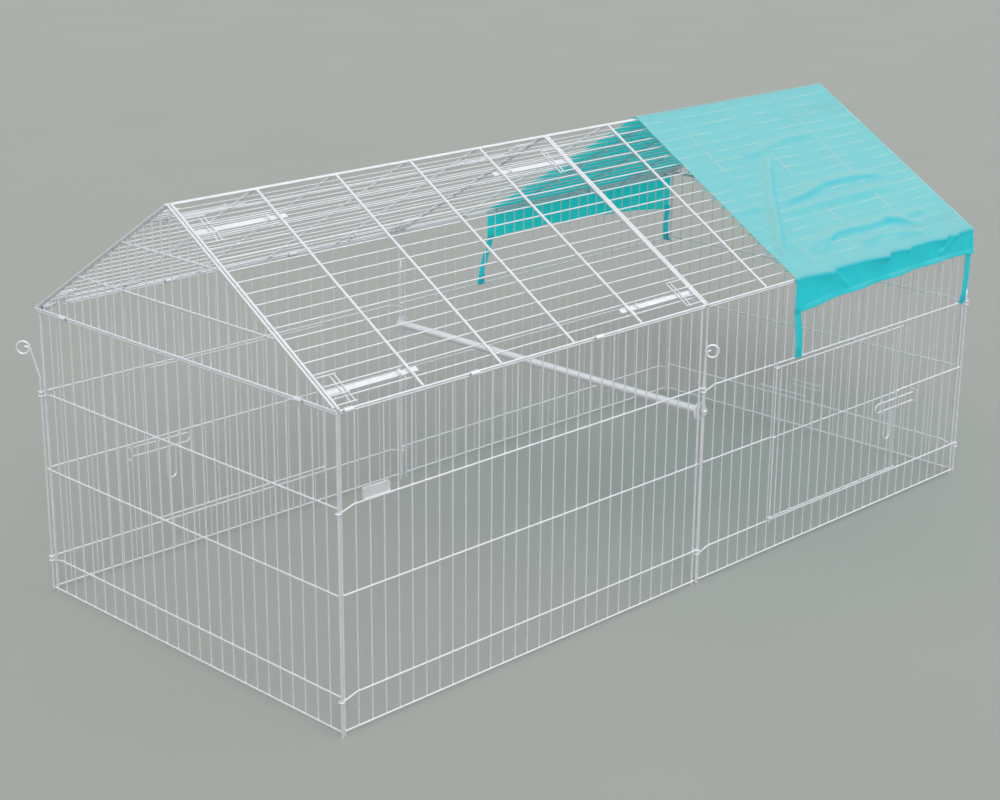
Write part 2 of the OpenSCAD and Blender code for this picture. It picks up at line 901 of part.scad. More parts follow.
// Rows of the sunshade's underside from the front hem to the ridge: [y, z, lean, way]
// lean turns the outward direction from up to forward, way counts 0 at the ridge,
// 1 at the eave fold and 2 at the hem
function front_rows() = concat(
    [for (k = [0 : valance_rows - 1])
        let (z = shade_hem_z + k * (valance_h - fold_round) / (valance_rows - 1))
            [-valance_y, z, 90, 1 + (shade_fold_z - z) / valance_h]],
    [[-valance_y, shade_fold_z, (90 + slope_a) / 2, 1]],
    [for (k = [0 : slope_rows - 1])
        let (
            first_s = shade_fold_s + fold_round,
            s = first_s + k * (shade_top_s - fold_round - first_s) / (slope_rows - 1)
        )
            concat(slope_point(s), [slope_a, (shade_top_s - s) / (shade_top_s - shade_fold_s)])]
);
ridge_row = concat(slope_point(shade_top_s), [0, 0]);

function back_row(row) = [-row[0], row[1], -row[2], -row[3]];

shade_rows = concat(
    front_rows(), [ridge_row], [for (k = [len(front_rows()) - 1 : -1 : 0]) back_row(front_rows()[k])]
);

// Height of the folds: long creases up the slopes from the eaves, and waves at the hems
function crease(t, up, list) = [
    for (c = list) c[3] * exp(-pow((t - c[0] - c[1] * up) / c[2], 2))
];
function sum(list) = list * [for (item = list) 1];
function shade_fold(t, way) =
    let (
        down = abs(way),
        up = max(1 - down, 0),
        fade = sin(90 * min(down, 1)) * sin(90 * min(2 - down, 1)),
        hem_wave = (1 - cos(360 * hem_waves * t)) / 2
    )
        crease_h * fade * sum(crease(t, up, way < 0 ? back_creases : front_creases))
            + wave_h * pow(down / 2, 3) * hem_wave;

// The hems rise between the straps and towards the gable
function hem_rise(t, way) =
    max(abs(way) - 1, 0) * (hem_arch * (1 - pow(2 * t - 1, 4)) + hem_slant * t);

function shade_point(row, x, lift) =
    let (
        t = (x - shade_x0) / shade_l,
        up = lift + shade_fold(t, row[3])
    )
        [x, row[0] - up * sin(row[2]), row[1] + up * cos(row[2]) + hem_rise(t, row[3])];

module sunshade() {
    rows = len(shade_rows);
    columns = shade_columns;
    layer = rows * columns;
    xs = [for (c = [0 : columns - 1]) shade_x0 + c * shade_l / (columns - 1)];
    points = [
        for (lift = [0, shade_t], row = shade_rows, x = xs) shade_point(row, x, lift)
    ];
    under = function (r, c) r * columns + c;
    over = function (r, c) layer + r * columns + c;
    quad = function (a, b, c, d) [[a, b, c], [a, c, d]];
    r1 = rows - 1;
    c1 = columns - 1;
    quads = concat(
        [for (r = [0 : r1 - 1], c = [0 : c1 - 1])
            quad(over(r, c), over(r + 1, c), over(r + 1, c + 1), over(r, c + 1))],
        [for (r = [0 : r1 - 1], c = [0 : c1 - 1])
            quad(under(r, c), under(r, c + 1), under(r + 1, c + 1), under(r + 1, c))],
        [for (c = [0 : c1 - 1]) quad(over(0, c), over(0, c + 1), under(0, c + 1), under(0, c))],
        [for (c = [0 : c1 - 1]) quad(over(r1, c + 1), over(r1, c), under(r1, c), under(r1, c + 1))],
        [for (r = [0 : r1 - 1]) quad(over(r + 1, 0), over(r, 0), under(r, 0), under(r + 1, 0))],
        [for (r = [0 : r1 - 1]) quad(over(r, c1), over(r + 1, c1), under(r + 1, c1), under(r, c1))]
    );
    color(cloth)
        polyhedron(points = points, faces = [for (pair = quads) each pair]);
}

// Length of strap along X with the outline drawn in Y and Z
module ribbon() {
    translate([-strap_half, 0, 0])
        rotate([90, 0, 90])
            linear_extrude(strap_w)
                children();
}

// Strap from behind a hanging edge to a loop on the upper rail, at the front.
// Where the rail drops to an eye, the loop tilts with it
module strap(foot_x, top_x, drop = 0, tilt = 0) {
    loop_in = rail_d / 2 + strap_clear;
    foot_y = -loop_in - strap_t / 2;
    foot_half = strap_t / 4;
    foot_z = upper_rail_z - drop;
    top_y = -(valance_y - half_w) + strap_gap;
    way = [top_x - foot_x, shade_hem_z + strap_lap - foot_z];
    color(cloth)
        translate([foot_x, -half_w, foot_z]) {
            rotate([0, atan2(way[0], way[1]), 0])
                ribbon()
                    polygon([
                        [top_y, norm(way)],
                        [foot_y - foot_half, 0],
                        [foot_y + foot_half, 0],
                        [top_y + strap_t, norm(way)]
                    ]);
            rotate([0, -tilt, 0])
                ribbon()
                    difference() {
                        circle(r = loop_in + strap_t, $fn = round_fn);
                        circle(r = loop_in, $fn = round_fn);
                    }
        }
}

module strap_front_left() {
    strap(strap_foot(shade_x0), strap_top_xs[0]);
}

module strap_front_right() {
    strap(half_l - beside_post, strap_top_xs[1]);
}

module strap_back_left() {
    turned()
        strap(strap_foot(half_l - shade_x0) - half_l, -strap_top_xs[0]);
}

module strap_back_right() {
    turned()
        strap(
            beside_post - half_l, -strap_top_xs[1],
            drop = (eye_bend_x - beside_post) * tan(eye_tilt), tilt = eye_tilt
        );
}

wall_front_left();
wall_front_right();
wall_right_end();
wall_back_right();
wall_back_left();
wall_left_end();
door_front();
door_back();
latch_front();
latch_back();
gable_left();
gable_right();
roof_front_left();
roof_front_right();
roof_back_left();
roof_back_right();
roof_bolt(-roof_far, low_gap);  // bolt_front_left_gable_low
roof_bolt(-roof_far, high_gap);  // bolt_front_left_gable_high
roof_bolt(-roof_near, low_gap);  // bolt_front_left_middle_low
roof_bolt(-roof_near, high_gap);  // bolt_front_left_middle_high
turned() roof_bolt(roof_far, low_gap);  // bolt_back_left_gable_low
turned() roof_bolt(roof_far, high_gap);  // bolt_back_left_gable_high
turned() roof_bolt(roof_near, low_gap);  // bolt_back_left_middle_low
turned() roof_bolt(roof_near, high_gap);  // bolt_back_left_middle_high
roof_bolt(roof_far, low_gap);  // bolt_front_right_gable_low
roof_bolt(roof_far, high_gap);  // bolt_front_right_gable_high
turned() roof_bolt(-roof_far, low_gap);  // bolt_back_right_gable_low
turned() roof_bolt(-roof_far, high_gap);  // bolt_back_right_gable_high
pin_left_corner();
pin_front_middle();
pin_right_corner();
pin_back_middle();
cross_strut();
strut_bolts();
strut_clamps();
eave_clips_front();
eave_clips_back();
gable_clips();
name_plate();
end_bracket();
sunshade();
strap_front_left();
strap_front_right();
strap_back_left();
strap_back_right();
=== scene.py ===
"""Looks of a folding wire run for poultry with a cloth sunshade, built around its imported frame."""

import logging
import math
from dataclasses import dataclass, field
from enum import Enum
from typing import Any

import bpy
import numpy as np
from mathutils import Matrix, Vector

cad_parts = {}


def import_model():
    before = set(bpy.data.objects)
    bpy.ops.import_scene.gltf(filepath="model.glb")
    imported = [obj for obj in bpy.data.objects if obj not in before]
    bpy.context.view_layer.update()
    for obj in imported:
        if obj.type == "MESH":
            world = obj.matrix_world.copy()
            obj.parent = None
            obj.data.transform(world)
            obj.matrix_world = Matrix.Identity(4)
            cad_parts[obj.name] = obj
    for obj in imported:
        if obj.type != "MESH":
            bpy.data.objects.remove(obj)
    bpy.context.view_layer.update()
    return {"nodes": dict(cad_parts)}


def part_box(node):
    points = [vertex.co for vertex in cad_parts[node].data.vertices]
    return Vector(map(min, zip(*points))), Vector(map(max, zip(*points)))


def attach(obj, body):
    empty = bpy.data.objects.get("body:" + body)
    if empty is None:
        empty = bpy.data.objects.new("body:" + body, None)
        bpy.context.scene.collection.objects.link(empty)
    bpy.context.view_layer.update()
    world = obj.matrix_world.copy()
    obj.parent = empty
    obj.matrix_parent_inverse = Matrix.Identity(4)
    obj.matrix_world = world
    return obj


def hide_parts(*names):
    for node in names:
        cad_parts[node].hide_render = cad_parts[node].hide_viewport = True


LOG = logging.getLogger("poultry_run")
MM = 0.001
ROOT = "run"
IMAGE_WIDTH = 1000
SENSOR_MM = 36.0
# The length at which Blender's wave texture repeats, at a scale of one
WAVE_LENGTH = math.pi / 10

Point = tuple[float, float]
Place = tuple[float, float, float]
Nugget = tuple[np.ndarray, list[tuple[int, ...]]]


class Side(Enum):
    """The two long sides of the run, with the sign of Y there."""

    FRONT = -1
    BACK = 1


def linear(colour: str) -> tuple[float, float, float, float]:
    """Turns an sRGB hex colour into linear RGBA.

    Args:
        colour: The colour as "#RRGGBB".

    Returns:
        Linear red, green, blue and an alpha of 1.
    """
    parts = [int(colour[i : i + 2], 16) / 255 for i in (1, 3, 5)]
    red, green, blue = (
        c / 12.92 if c <= 0.04045 else ((c + 0.055) / 1.055) ** 2.4 for c in parts
    )
    return red, green, blue, 1.0


def add_node(
    tree: bpy.types.NodeTree, kind: str, inputs: dict[Any, Any] | None = None, **settings: Any
) -> bpy.types.Node:
    """Adds a shader node with its settings, values and links.

    Args:
        tree: The node tree of a material or world.
        kind: The node's type name.
        inputs: Socket name or index to a value, or to another node's output to link.
        **settings: Properties of the node.

    Returns:
        The new node.
    """
    node = tree.nodes.new(kind)
    for name, value in settings.items():
        setattr(node, name, value)
    for key, value in (inputs or {}).items():
        if isinstance(value, bpy.types.NodeSocket):
            tree.links.new(value, node.inputs[key])
        else:
            node.inputs[key].default_value = value
    return node


def empty_material(name: str) -> bpy.types.Material:
    """Makes a material with no nodes in it.

    Args:
        name: The material's name.

    Returns:
        The new material.
    """
    material = bpy.data.materials.new(name)
    material.use_nodes = True
    material.node_tree.nodes.clear()
    return material


@dataclass(frozen=True)
class ZincPlate:
    """Bright zinc plated on drawn steel."""

    # Zinc plate gives the eye a faintly blue, almost white metal with soft clouds and milky
    # highlights: its fine crystals scatter light, so that only half of it is mirrored

    name: str = "bright_zinc_plate"
    bright: str = "#F6F6F8"
    dull: str = "#D6D9E2"
    roughness: float = 0.4
    metallic: float = 0.5
    rough_range: tuple[float, float] = (-0.08, 0.12)
    cloud_mm: float = 22.0
    grain_mm: float = 1.6
    grain_depth_mm: float = 0.05

    def build(self) -> bpy.types.Material:
        """Makes the zinc material.

        Returns:
            The material.
        """
        material = empty_material(self.name)
        tree = material.node_tree
        place = add_node(tree, "ShaderNodeTexCoord").outputs["Object"]
        cloud = add_node(
            tree, "ShaderNodeTexNoise",
            {"Vector": place, "Scale": 1 / (self.cloud_mm * MM), "Detail": 4.0, "Roughness": 0.6},
        )
        grain = add_node(
            tree, "ShaderNodeTexNoise",
            {"Vector": place, "Scale": 1 / (self.grain_mm * MM), "Detail": 2.0},
        )
        tone = add_node(
            tree, "ShaderNodeMix",
            {"Factor": cloud.outputs["Fac"], "A": linear(self.dull), "B": linear(self.bright)},
            data_type="RGBA",
        )
        rough = add_node(
            tree, "ShaderNodeMapRange",
            {"Value": grain.outputs["Fac"], "To Min": self.roughness + self.rough_range[0],
             "To Max": self.roughness + self.rough_range[1]},
        )
        bump = add_node(
            tree, "ShaderNodeBump",
            {"Height": grain.outputs["Fac"], "Strength": 0.25,
             "Distance": self.grain_depth_mm * MM},
        )
        surface = add_node(
            tree, "ShaderNodeBsdfPrincipled",
            {"Base Color": tone.outputs["Result"], "Metallic": self.metallic,
             "Roughness": rough.outputs["Result"], "Normal": bump.outputs["Normal"]},
        )
        add_node(tree, "ShaderNodeOutputMaterial", {"Surface": surface.outputs["BSDF"]})
        return material


@dataclass(frozen=True)
class ShadeCloth:
    """Woven polyester with a thin coat."""

    # Coated polyester gives the eye a satin cloth with a fine weave, a little see-through. Where it
    # faces the sky its colour is painted much paler, a painted sheen of sky light, and the wires
    # that it lies on are painted in as soft pale lines of light

    name: str = "woven_polyester_cloth"
    deep: str = "#24D6F0"
    # Of the two colours that follow, the first is a painted sheen of sky light on upward faces, the
    # second painted light where the wires show through the cloth
    sky_sheen: str = "#8FDBE2"
    wire_glow: str = "#BFE9E8"
    roughness: float = 0.5
    light_through: float = 0.7
    light_depth_mm: float = 9.0
    thread_mm: float = 2.4
    thread_depth_mm: float = 0.12
    wire_pitch_mm: float = 33.14
    wire_blur_mm: float = 4.2
    bar_start_mm: float = 4.0
    bar_pitch_mm: float = 217.4
    bar_blur_mm: float = 5.2
    tight_mm: float = 90.0
    tight_range: tuple[float, float] = (0.4, 0.62)
    slack_share: float = 0.15
    blotch_mm: float = 110.0
    blotch_low: float = 0.82
    glow: float = 0.45

    def _near_line(
        self, tree: bpy.types.NodeTree, along: bpy.types.NodeSocket, start: float, pitch: float,
        blur: float,
    ) -> bpy.types.NodeSocket:
        """Draws soft lines at a steady pitch.

        Args:
            tree: The material's nodes.
            along: The distance across the lines in metres.
            start: The place of one line in metres.
            pitch: The distance between lines in metres.
            blur: Half the width of a line in metres.

        Returns:
            A socket that is 1 on a line and 0 away from it.
        """
        # A hundred pitches more keep the remainder above nothing on all of the cloth
        saw = add_node(
            tree, "ShaderNodeMath", {0: along, 1: start + pitch / 2 - 100 * pitch},
            operation="SUBTRACT",
        )
        turn = add_node(
            tree, "ShaderNodeMath", {0: saw.outputs[0], 1: pitch}, operation="MODULO"
        )
        off = add_node(
            tree, "ShaderNodeMath", {0: turn.outputs[0], 1: pitch / 2}, operation="SUBTRACT"
        )
        far = add_node(tree, "ShaderNodeMath", {0: off.outputs[0]}, operation="ABSOLUTE")
        line = add_node(
            tree, "ShaderNodeMapRange",
            {"Value": far.outputs[0], "From Min": 0.2 * blur, "From Max": blur, "To Min": 1.0,
             "To Max": 0.0},
            interpolation_type="SMOOTHSTEP",
        )
        return line.outputs["Result"]

    def build(self) -> bpy.types.Material:
        """Makes the cloth material, which reads the sheet's own map in metres.

        Returns:
            The material.
        """
        material = empty_material(self.name)
        tree = material.node_tree
        flat = add_node(tree, "ShaderNodeUVMap", uv_map="cloth")
        across = add_node(tree, "ShaderNodeSeparateXYZ", {0: flat.outputs["UV"]})
        down = add_node(
            tree, "ShaderNodeMath", {0: across.outputs["Y"]}, operation="ABSOLUTE"
        )
        # Painted light: the wires and bars under the cloth show through as pale lines drawn into its
        # colour
        wires = self._near_line(
            tree, down.outputs[0], self.wire_pitch_mm * MM, self.wire_pitch_mm * MM,
            self.wire_blur_mm * MM,
        )
        bars = self._near_line(
            tree, across.outputs["X"], self.bar_start_mm * MM, self.bar_pitch_mm * MM,
            self.bar_blur_mm * MM,
        )
        lines = add_node(tree, "ShaderNodeMath", {0: wires, 1: bars}, operation="MAXIMUM")
        # Painted sheen: a mark that is high where the cloth faces up, drawing it paler there as if
        # lit by the sky
        painted_sheen = add_node(tree, "ShaderNodeAttribute", attribute_name="painted_sheen")
        touch = add_node(tree, "ShaderNodeAttribute", attribute_name="touch")
        shown = add_node(
            tree, "ShaderNodeMath", {0: lines.outputs[0], 1: touch.outputs["Fac"]},
            operation="MULTIPLY",
        )
        # A noise lets the painted wire lines fade in and out
        tight = add_node(
            tree, "ShaderNodeTexNoise",
            {"Vector": flat.outputs["UV"], "Scale": 1 / (self.tight_mm * MM), "Detail": 2.0},
        )
        patch = add_node(
            tree, "ShaderNodeMapRange",
            {"Value": tight.outputs["Fac"], "From Min": self.tight_range[0],
             "From Max": self.tight_range[1], "To Min": self.slack_share * self.glow,
             "To Max": self.glow},
        )
        glow = add_node(
            tree, "ShaderNodeMath", {0: shown.outputs[0], 1: patch.outputs["Result"]},
            operation="MULTIPLY",
        )
        blotch = add_node(
            tree, "ShaderNodeTexNoise",
            {"Vector": flat.outputs["UV"], "Scale": 1 / (self.blotch_mm * MM), "Detail": 3.0},
        )
        # This noise only varies the painted sheen in patches
        patchy_sheen = add_node(
            tree, "ShaderNodeMapRange",
            {"Value": blotch.outputs["Fac"], "To Min": self.blotch_low, "To Max": 1.0},
        )
        paleness = add_node(
            tree, "ShaderNodeMath", {0: painted_sheen.outputs["Fac"], 1: patchy_sheen.outputs["Result"]},
            operation="MULTIPLY",
        )
        tone = add_node(
            tree, "ShaderNodeMix",
            {"Factor": paleness.outputs[0], "A": linear(self.deep), "B": linear(self.sky_sheen)},
            data_type="RGBA",
        )
        # The painted light of the wires is mixed into the colour here
        lit = add_node(
            tree, "ShaderNodeMix",
            {"Factor": glow.outputs[0], "A": tone.outputs["Result"], "B": linear(self.wire_glow)},
            data_type="RGBA",
        )
        # Threads are drawn several times too coarse, so that the weave shows at all
        warp, weft = (
            add_node(
                tree, "ShaderNodeTexWave",
                {"Vector": flat.outputs["UV"], "Scale": WAVE_LENGTH / (2 * self.thread_mm * MM),
                 "Distortion": 0.4},
                bands_direction=way,
            )
            for way in ("X", "Y")
        )
        weave = add_node(
            tree, "ShaderNodeMath", {0: warp.outputs["Fac"], 1: weft.outputs["Fac"]},
            operation="ADD",
        )
        bump = add_node(
            tree, "ShaderNodeBump",
            {"Height": weave.outputs[0], "Strength": 0.3, "Distance": self.thread_depth_mm * MM},
        )
        surface = add_node(
            tree, "ShaderNodeBsdfPrincipled",
            {"Base Color": lit.outputs["Result"], "Roughness": self.roughness,
             "Normal": bump.outputs["Normal"], "Specular IOR Level": 0.2,
             "Subsurface Weight": self.light_through, "Subsurface Radius": (0.35, 1.0, 1.0),
             "Subsurface Scale": self.light_depth_mm * MM},
        )
        add_node(tree, "ShaderNodeOutputMaterial", {"Surface": surface.outputs["BSDF"]})
        return material


@dataclass(frozen=True)
class PaleFloor:
    """Painted studio floor."""

    # Matt paint gives the eye an even, pale ground without highlights, with a faint cloudiness

    name: str = "matt_floor_paint"
    pale: str = "#AFB4AF"
    shade: str = "#A9AEA9"
    cloud_mm: float = 650.0

    def build(self) -> bpy.types.Material:
        """Makes the floor material.

        Returns:
            The material.
        """
        material = empty_material(self.name)
        tree = material.node_tree
        place = add_node(tree, "ShaderNodeTexCoord").outputs["Object"]
        cloud = add_node(
            tree, "ShaderNodeTexNoise",
            {"Vector": place, "Scale": 1 / (self.cloud_mm * MM), "Detail": 3.0},
        )
        tone = add_node(
            tree, "ShaderNodeMix",
            {"Factor": cloud.outputs["Fac"], "A": linear(self.shade), "B": linear(self.pale)},
            data_type="RGBA",
        )
        surface = add_node(
            tree, "ShaderNodeBsdfPrincipled",
            {"Base Color": tone.outputs["Result"], "Roughness": 0.85},
        )
        add_node(tree, "ShaderNodeOutputMaterial", {"Surface": surface.outputs["BSDF"]})
        return material


def deselect() -> None:
    """Leaves object mode with nothing selected, so that operators act on new pieces alone."""
    if bpy.context.object and bpy.context.object.mode != "OBJECT":
        bpy.ops.object.mode_set(mode="OBJECT")
    bpy.ops.object.select_all(action="DESELECT")


def apply_modifiers(piece: bpy.types.Object) -> None:
    """Applies all the modifiers of a piece in their order.

    Args:
        piece: The piece to finish.
    """
    deselect()
    piece.select_set(True)
    bpy.context.view_layer.objects.active = piece
    for modifier in list(piece.modifiers):
        bpy.ops.object.modifier_apply(modifier=modifier.name)


def dress(piece: bpy.types.Object, material: bpy.types.Material) -> None:
    """Gives a piece one material.

    Args:
        piece: The piece.
        material: Its finish.
    """
    piece.data.materials.clear()
    piece.data.materials.append(material)


@dataclass
class PhotoCamera:
    """Camera at the photograph's viewing angle, from a fit of the run's corners."""

    place: Place = (-3.430945, -3.239594, 1.873368)
    azimuth: float = -45.413
    elevation: float = 18.033
    roll: float = 0.452
    focal_px: float = 2002.1

    def build(self) -> bpy.types.Object:
        """Makes the scene's camera.

        Returns:
            The camera.
        """
        a, e, r = (math.radians(x) for x in (self.azimuth, self.elevation, self.roll))
        back = Vector((math.sin(a) * math.cos(e), -math.cos(a) * math.cos(e), math.sin(e)))
        level = Vector((math.cos(a), math.sin(a), 0))
        rise = back.cross(level)
        right = math.cos(r) * level + math.sin(r) * rise
        up = -math.sin(r) * level + math.cos(r) * rise
        data = bpy.data.cameras.new("photo_camera")
        data.sensor_width = SENSOR_MM
        data.lens = SENSOR_MM * self.focal_px / IMAGE_WIDTH
        camera = bpy.data.objects.new("photo_camera", data)
        bpy.context.scene.collection.objects.link(camera)
        turn = Matrix((right, up, back)).transposed().to_4x4()
        camera.matrix_world = Matrix.Translation(self.place) @ turn
        bpy.context.scene.camera = camera
        return camera


@dataclass
class Studio:
    """Pale floor, soft lamps and an even bright surround."""

    floor_size: float = 120.0
    surround: str = "#FFFFFF"
    surround_strength: float = 0.5
    key_strength: float = 1.15
    key_from: Place = (-0.6, -0.72, 0.65)
    key_spread: float = math.radians(28)
    sky_strength: float = 0.25
    sky_from: Place = (0.0, -0.15, 1.0)
    sky_spread: float = math.radians(110)
    fill_strength: float = 0.4
    fill_from: Place = (0.7, -0.5, 0.6)
    fill_spread: float = math.radians(60)

    def build_floor(self) -> bpy.types.Object:
        """Makes the floor.

        Returns:
            The floor.
        """
        deselect()
        bpy.ops.mesh.primitive_plane_add(size=self.floor_size)
        floor = bpy.context.object
        floor.name = "floor"
        dress(floor, PaleFloor().build())
        return floor

    def build_lamp(
        self, name: str, aim_from: Place, strength: float, spread: float
    ) -> bpy.types.Object:
        """Makes one broad, distant lamp, which lights floor and run evenly.

        Args:
            name: The lamp's name.
            aim_from: The direction in which the lamp stands.
            strength: Its strength.
            spread: The angle that it fills, which softens the shadows.

        Returns:
            The lamp.
        """
        data = bpy.data.lights.new(name, "SUN")
        data.energy = strength
        data.angle = spread
        lamp = bpy.data.objects.new(name, data)
        bpy.context.scene.collection.objects.link(lamp)
        lamp.rotation_euler = Vector(aim_from).to_track_quat("Z", "Y").to_euler()
        return lamp

    def build_world(self) -> None:
        """Makes the surround: even light, and a pale backdrop where it is seen or mirrored."""
        world = bpy.data.worlds.new("surround")
        bpy.context.scene.world = world
        world.use_nodes = True
        tree = world.node_tree
        tree.nodes.clear()
        path = add_node(tree, "ShaderNodeLightPath")
        seen = add_node(
            tree, "ShaderNodeMath",
            {0: path.outputs["Is Camera Ray"], 1: path.outputs["Is Glossy Ray"]},
            operation="MAXIMUM",
        )
        shown = add_node(
            tree, "ShaderNodeMath",
            {0: seen.outputs[0], 1: path.outputs["Is Transmission Ray"]}, operation="MAXIMUM",
        )
        colour = linear(self.surround)
        even = add_node(
            tree, "ShaderNodeBackground", {"Color": colour, "Strength": self.surround_strength}
        )
        drop = add_node(tree, "ShaderNodeBackground", {"Color": colour, "Strength": 1.0})
        mixed = add_node(
            tree, "ShaderNodeMixShader",
            {0: shown.outputs[0], 1: even.outputs[0], 2: drop.outputs[0]},
        )
        add_node(tree, "ShaderNodeOutputWorld", {"Surface": mixed.outputs[0]})

    def build(self) -> None:
        """Makes the floor, the lamps and the surround."""
        self.build_floor()
        self.build_lamp("key_lamp", self.key_from, self.key_strength, self.key_spread)
        self.build_lamp("sky_lamp", self.sky_from, self.sky_strength, self.sky_spread)
        self.build_lamp("fill_lamp", self.fill_from, self.fill_strength, self.fill_spread)
        self.build_world()
        bpy.context.scene.view_settings.view_transform = "Standard"


@dataclass(frozen=True)
class WireSizes:
    """Places of the welded wires, in metres, in the frame's own sizes."""

    half_l: float = 1.1
    half_w: float = 0.51
    rail_zs: tuple[float, ...] = (0.012, 0.088, 0.304, 0.487, 0.678)
    eyed_rails: tuple[int, ...] = (1, 3)
    middle_rail: int = 2
    post_in: float = 0.010
    rail_r: float = 0.002
    eye_bend: float = 0.040
    eye_r: float = 0.005
    eye_drop: float = 0.010
    long_gaps: int = 29
    end_gaps: int = 26
    door_first: int = 7
    door_last: int = 21
    door_zs: tuple[float, ...] = (0.097, 0.304, 0.478)
    door_seam_y: float = -0.00626
    door_stile_in: float = 0.014
    door_lap: float = 0.008
    eave_z: float = 0.6828
    slope: float = math.radians(31.84)
    slope_l: float = 0.5966
    roof_gaps: int = 18
    roof_bays: int = 5
    roof_near: float = 0.004
    roof_far: float = 1.09098
    bar_r: float = 0.003
    edge_r: float = 0.0025
    gable_gaps: int = 34
    gable_seam: float = 1.0975

    def long_upright(self, i: float) -> float:
        """Place of an upright along a long wall panel, from its left pin."""
        return self.post_in + i * (self.half_l - 2 * self.post_in) / self.long_gaps


@dataclass
class SpotWelds:
    """Small squeezed nuggets of metal where two wires are welded together."""

    sizes: WireSizes = field(default_factory=WireSizes)
    nugget: Place = (0.0021, 0.0012, 0.0021)
    bar_nugget: Place = (0.0026, 0.0026, 0.0012)
    segments: int = 8
    rings: int = 5
    squeeze: float = 0.8
    pole: float = 0.99

    def _unit(self) -> Nugget:
        """Models one nugget: a ball with its ends squeezed flat, as by the welding tips.

        Returns:
            Its points and faces, sorted, because the new ball's order differs from run to run.
        """
        deselect()
        bpy.ops.mesh.primitive_uv_sphere_add(
            segments=self.segments, ring_count=self.rings, radius=1.0
        )
        ball = bpy.context.object
        bpy.ops.object.mode_set(mode="EDIT")
        bpy.ops.mesh.select_mode(type="VERT")
        bpy.ops.mesh.select_all(action="DESELECT")
        bpy.ops.object.mode_set(mode="OBJECT")
        for point in ball.data.vertices:
            point.select = abs(point.co.z) > self.pole
        bpy.ops.object.mode_set(mode="EDIT")
        bpy.ops.transform.resize(value=(1.0, 1.0, self.squeeze))
        bpy.ops.object.mode_set(mode="OBJECT")
        points = np.array([v.co for v in ball.data.vertices])
        order = np.lexsort(points.round(4).T)
        rank = np.argsort(order).tolist()
        faces: list[tuple[int, ...]] = []
        for polygon in ball.data.polygons:
            corners = [rank[v] for v in polygon.vertices]
            first = corners.index(min(corners))
            faces.append(tuple(corners[first:] + corners[:first]))
        bpy.data.objects.remove(ball)
        return points[order], sorted(faces)

    def _copy(
        self, unit: Nugget, name: str, places: list[Place], radii: Place, turn: Matrix,
        body: str, material: bpy.types.Material,
    ) -> bpy.types.Object:
        """Copies the nugget to many places as one piece.

        Args:
            unit: The nugget's points and faces.
            name: The piece's name.
            places: Where the nuggets are, before the turn.
            radii: Half sizes of a nugget, before the turn.
            turn: What brings the nuggets to their place on the run.
            body: The body that the piece rides on.
            material: Its finish.

        Returns:
            The piece.
        """
        ball, faces = unit
        count = len(ball)
        points = np.concatenate([ball * np.array(radii) + np.array(p) for p in places])
        matrix = np.array(turn)
        points = points @ matrix[:3, :3].T + matrix[:3, 3]
        mesh = bpy.data.meshes.new(name)
        mesh.from_pydata(
            points.tolist(), [],
            [tuple(v + k * count for v in face) for k in range(len(places)) for face in faces],
        )
        mesh.shade_smooth()
        piece = bpy.data.objects.new(name, mesh)
        bpy.context.scene.collection.objects.link(piece)
        dress(piece, material)
        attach(piece, body)
        LOG.info("%s: %d welds", name, len(places))
        return piece

    def _wall(self, span: float, gaps: int, on_pin: bool, doorway: bool) -> list[Place]:
        """Lists the welds of a wall panel, seen from outside with its left pin at the origin.

        Args:
            span: The panel's length.
            gaps: The gaps between its uprights.
            on_pin: Whether its right post stands on the pin line.
            doorway: Whether it has a doorway.

        Returns:
            The places of the welds.
        """
        s = self.sizes
        last_x = span if on_pin else span - s.post_in
        found: list[Place] = []
        for i in range(gaps + 1):
            x = s.post_in + i * (last_x - s.post_in) / gaps
            if on_pin and i == gaps:
                continue
            for k, z in enumerate(s.rail_zs):
                inside = doorway and s.door_first < i < s.door_last
                if inside and k == s.middle_rail:
                    continue
                if doorway and i == s.door_first and k == s.middle_rail:
                    continue
                drop = 0.0
                if k in s.eyed_rails and x < s.eye_bend:
                    drop = s.eye_drop * (s.eye_bend - x) / (s.eye_bend - s.eye_r)
                found.append((x, s.rail_r, z - drop))
        return found

    def _roof(self, start: float) -> list[Place]:
        """Lists the welds under the bars of a roof panel, in the slope's own frame.

        Args:
            start: The place of the panel's left edge bar along X.

        Returns:
            The places of the welds.
        """
        s = self.sizes
        bay = (s.roof_far - s.roof_near) / s.roof_bays
        pitch = s.slope_l / s.roof_gaps
        return [
            (start + i * bay, k * pitch, -s.bar_r)
            for i in range(s.roof_bays + 1)
            for k in range(1, s.roof_gaps)
        ]

    def _gable(self) -> list[Place]:
        """Lists the welds of the right gable's uprights on its foot and cross wires.

        Returns:
            The places of the welds.
        """
        s = self.sizes
        pitch = 2 * s.half_w / s.gable_gaps
        rise = s.half_w * math.tan(s.slope)
        found: list[Place] = []
        for k in range(1 - s.gable_gaps // 2, s.gable_gaps // 2):
            y = k * pitch
            top = rise - abs(y) * math.tan(s.slope)
            for up in (0.0, rise / 3, 2 * rise / 3):
                if up < top:
                    found.append((s.gable_seam, y, s.eave_z + up))
        return found

